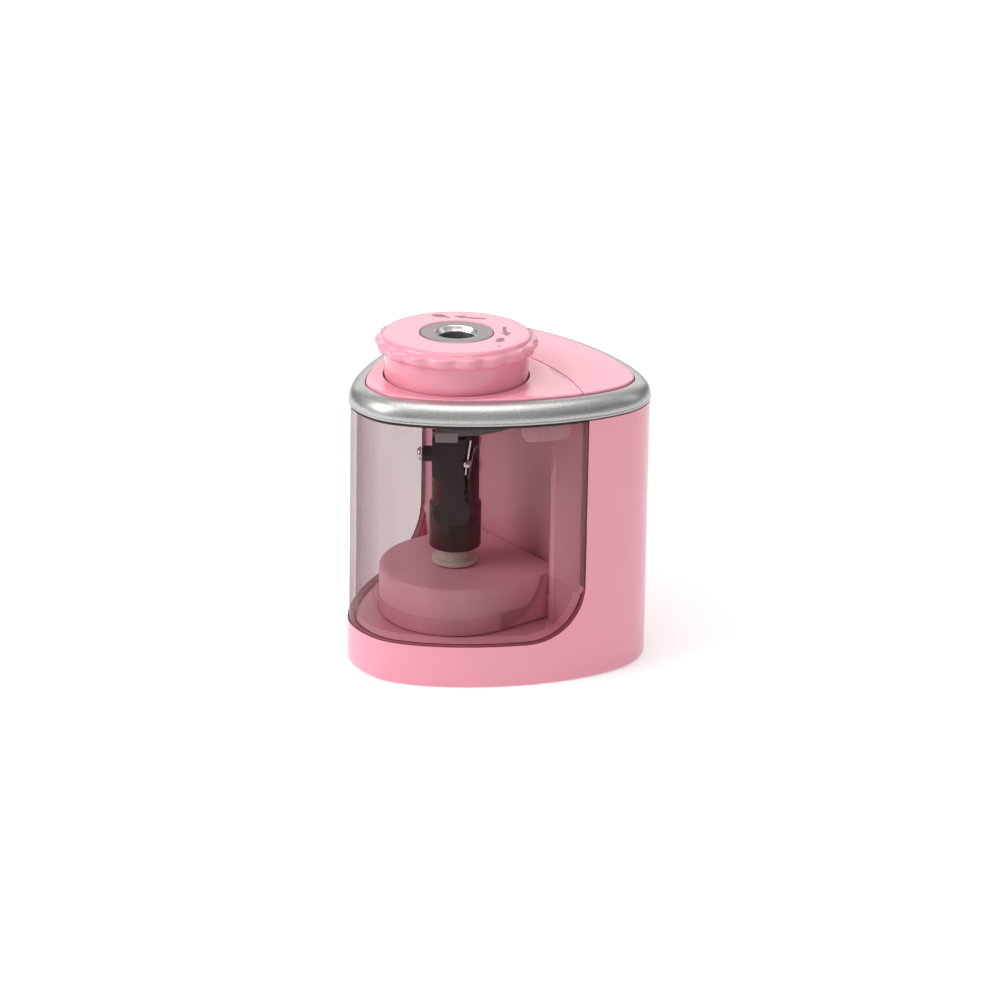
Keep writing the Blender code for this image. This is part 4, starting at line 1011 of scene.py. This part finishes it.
BACK = Vector((0.7403, -0.5670, 0.3612)).normalized()
RIGHT = Vector((0.6081, 0.7939, 0.0)).normalized()
UP = BACK.cross(RIGHT)
roll = radians(0.914)
R2 = RIGHT * cos(roll) + UP * sin(roll)
U2 = UP * cos(roll) - RIGHT * sin(roll)
cam_d = bpy.data.cameras.new("camera")
cam_d.lens, cam_d.sensor_width, cam_d.sensor_fit = 83.63, 36.0, 'HORIZONTAL'
cam_d.clip_start, cam_d.clip_end = 0.01, 20
cam = bpy.data.objects.new("camera", cam_d)
coll.objects.link(cam)
mw = Matrix.Identity(4)
for i in range(3):
    mw[i][0], mw[i][1], mw[i][2] = R2[i], U2[i], BACK[i]
mw.translation = Vector((0.40827, -0.30729, 0.23323))
cam.matrix_world = mw
scene.camera = cam

world = bpy.data.worlds.new("studio")
scene.world = world
world.use_nodes = True
wt = world.node_tree
wt.nodes.clear()
wo = wt.nodes.new("ShaderNodeOutputWorld")
lp = wt.nodes.new("ShaderNodeLightPath")
mixw = wt.nodes.new("ShaderNodeMixShader")
amb = wt.nodes.new("ShaderNodeBackground")
amb.inputs["Strength"].default_value = 1.0
tcw = wt.nodes.new("ShaderNodeTexCoord")
spw = wt.nodes.new("ShaderNodeSeparateXYZ")
rmp = wt.nodes.new("ShaderNodeValToRGB")
el = rmp.color_ramp.elements
el[0].position, el[0].color = 0.0, (0.12, 0.12, 0.12, 1)
el[1].position, el[1].color = 1.0, (0.72, 0.72, 0.72, 1)
for pos, v in ((0.25, 0.15), (0.5, 0.30), (0.8, 0.58)):
    q_ = el.new(pos)
    q_.color = (v, v, v, 1)
wt.links.new(tcw.outputs["Generated"], spw.inputs[0])
wt.links.new(spw.outputs[2], rmp.inputs["Fac"])
wt.links.new(rmp.outputs["Color"], amb.inputs["Color"])
see = wt.nodes.new("ShaderNodeBackground")
see.inputs["Strength"].default_value = 1.0
see.inputs["Color"].default_value = (1, 1, 1, 1)
wt.links.new(lp.outputs["Is Camera Ray"], mixw.inputs[0])
wt.links.new(amb.outputs[0], mixw.inputs[1])
wt.links.new(see.outputs[0], mixw.inputs[2])
wt.links.new(mixw.outputs[0], wo.inputs["Surface"])


def area(name, where, size, power, target=(0, 0, 0.04), color=(1, 1, 1), size_y=None):
    ld = bpy.data.lights.new(name, 'AREA')
    ld.energy, ld.size, ld.color = power, size, color
    if size_y:
        ld.shape, ld.size_y = 'RECTANGLE', size_y
    ob = bpy.data.objects.new(name, ld)
    coll.objects.link(ob)
    ob.location = where
    ob.rotation_euler = (Vector(target) - Vector(where)).to_track_quat('-Z', 'Y').to_euler()
    return ob


FLAT = Vector((BACK.x, BACK.y, 0)).normalized()      # level direction towards the viewer
area("key_left", -RIGHT * 0.75 + FLAT * 0.25 + Vector((0, 0, 0.55)), 0.5, 4.6, size_y=0.6)
area("top", FLAT * 0.12 - RIGHT * 0.03 + Vector((0, 0, 1.1)), 0.8, 4.4)
area("kick_right", RIGHT * 0.8 - FLAT * 0.15 + Vector((0, 0, 0.45)), 0.25, 0.4, size_y=0.5)
area("fill_front", FLAT * 1.1 + RIGHT * 0.1 + Vector((0, 0, 0.35)), 0.8, 0.6)
area("sweep_back", -FLAT * 1.1 + Vector((0, 0, 0.52)), 1.7, 3.6, target=(0, 0, 0.07), size_y=0.62)

scene.view_settings.view_transform = 'Standard'
scene.view_settings.look = 'None'
scene.cycles.transparent_max_bounces = 24
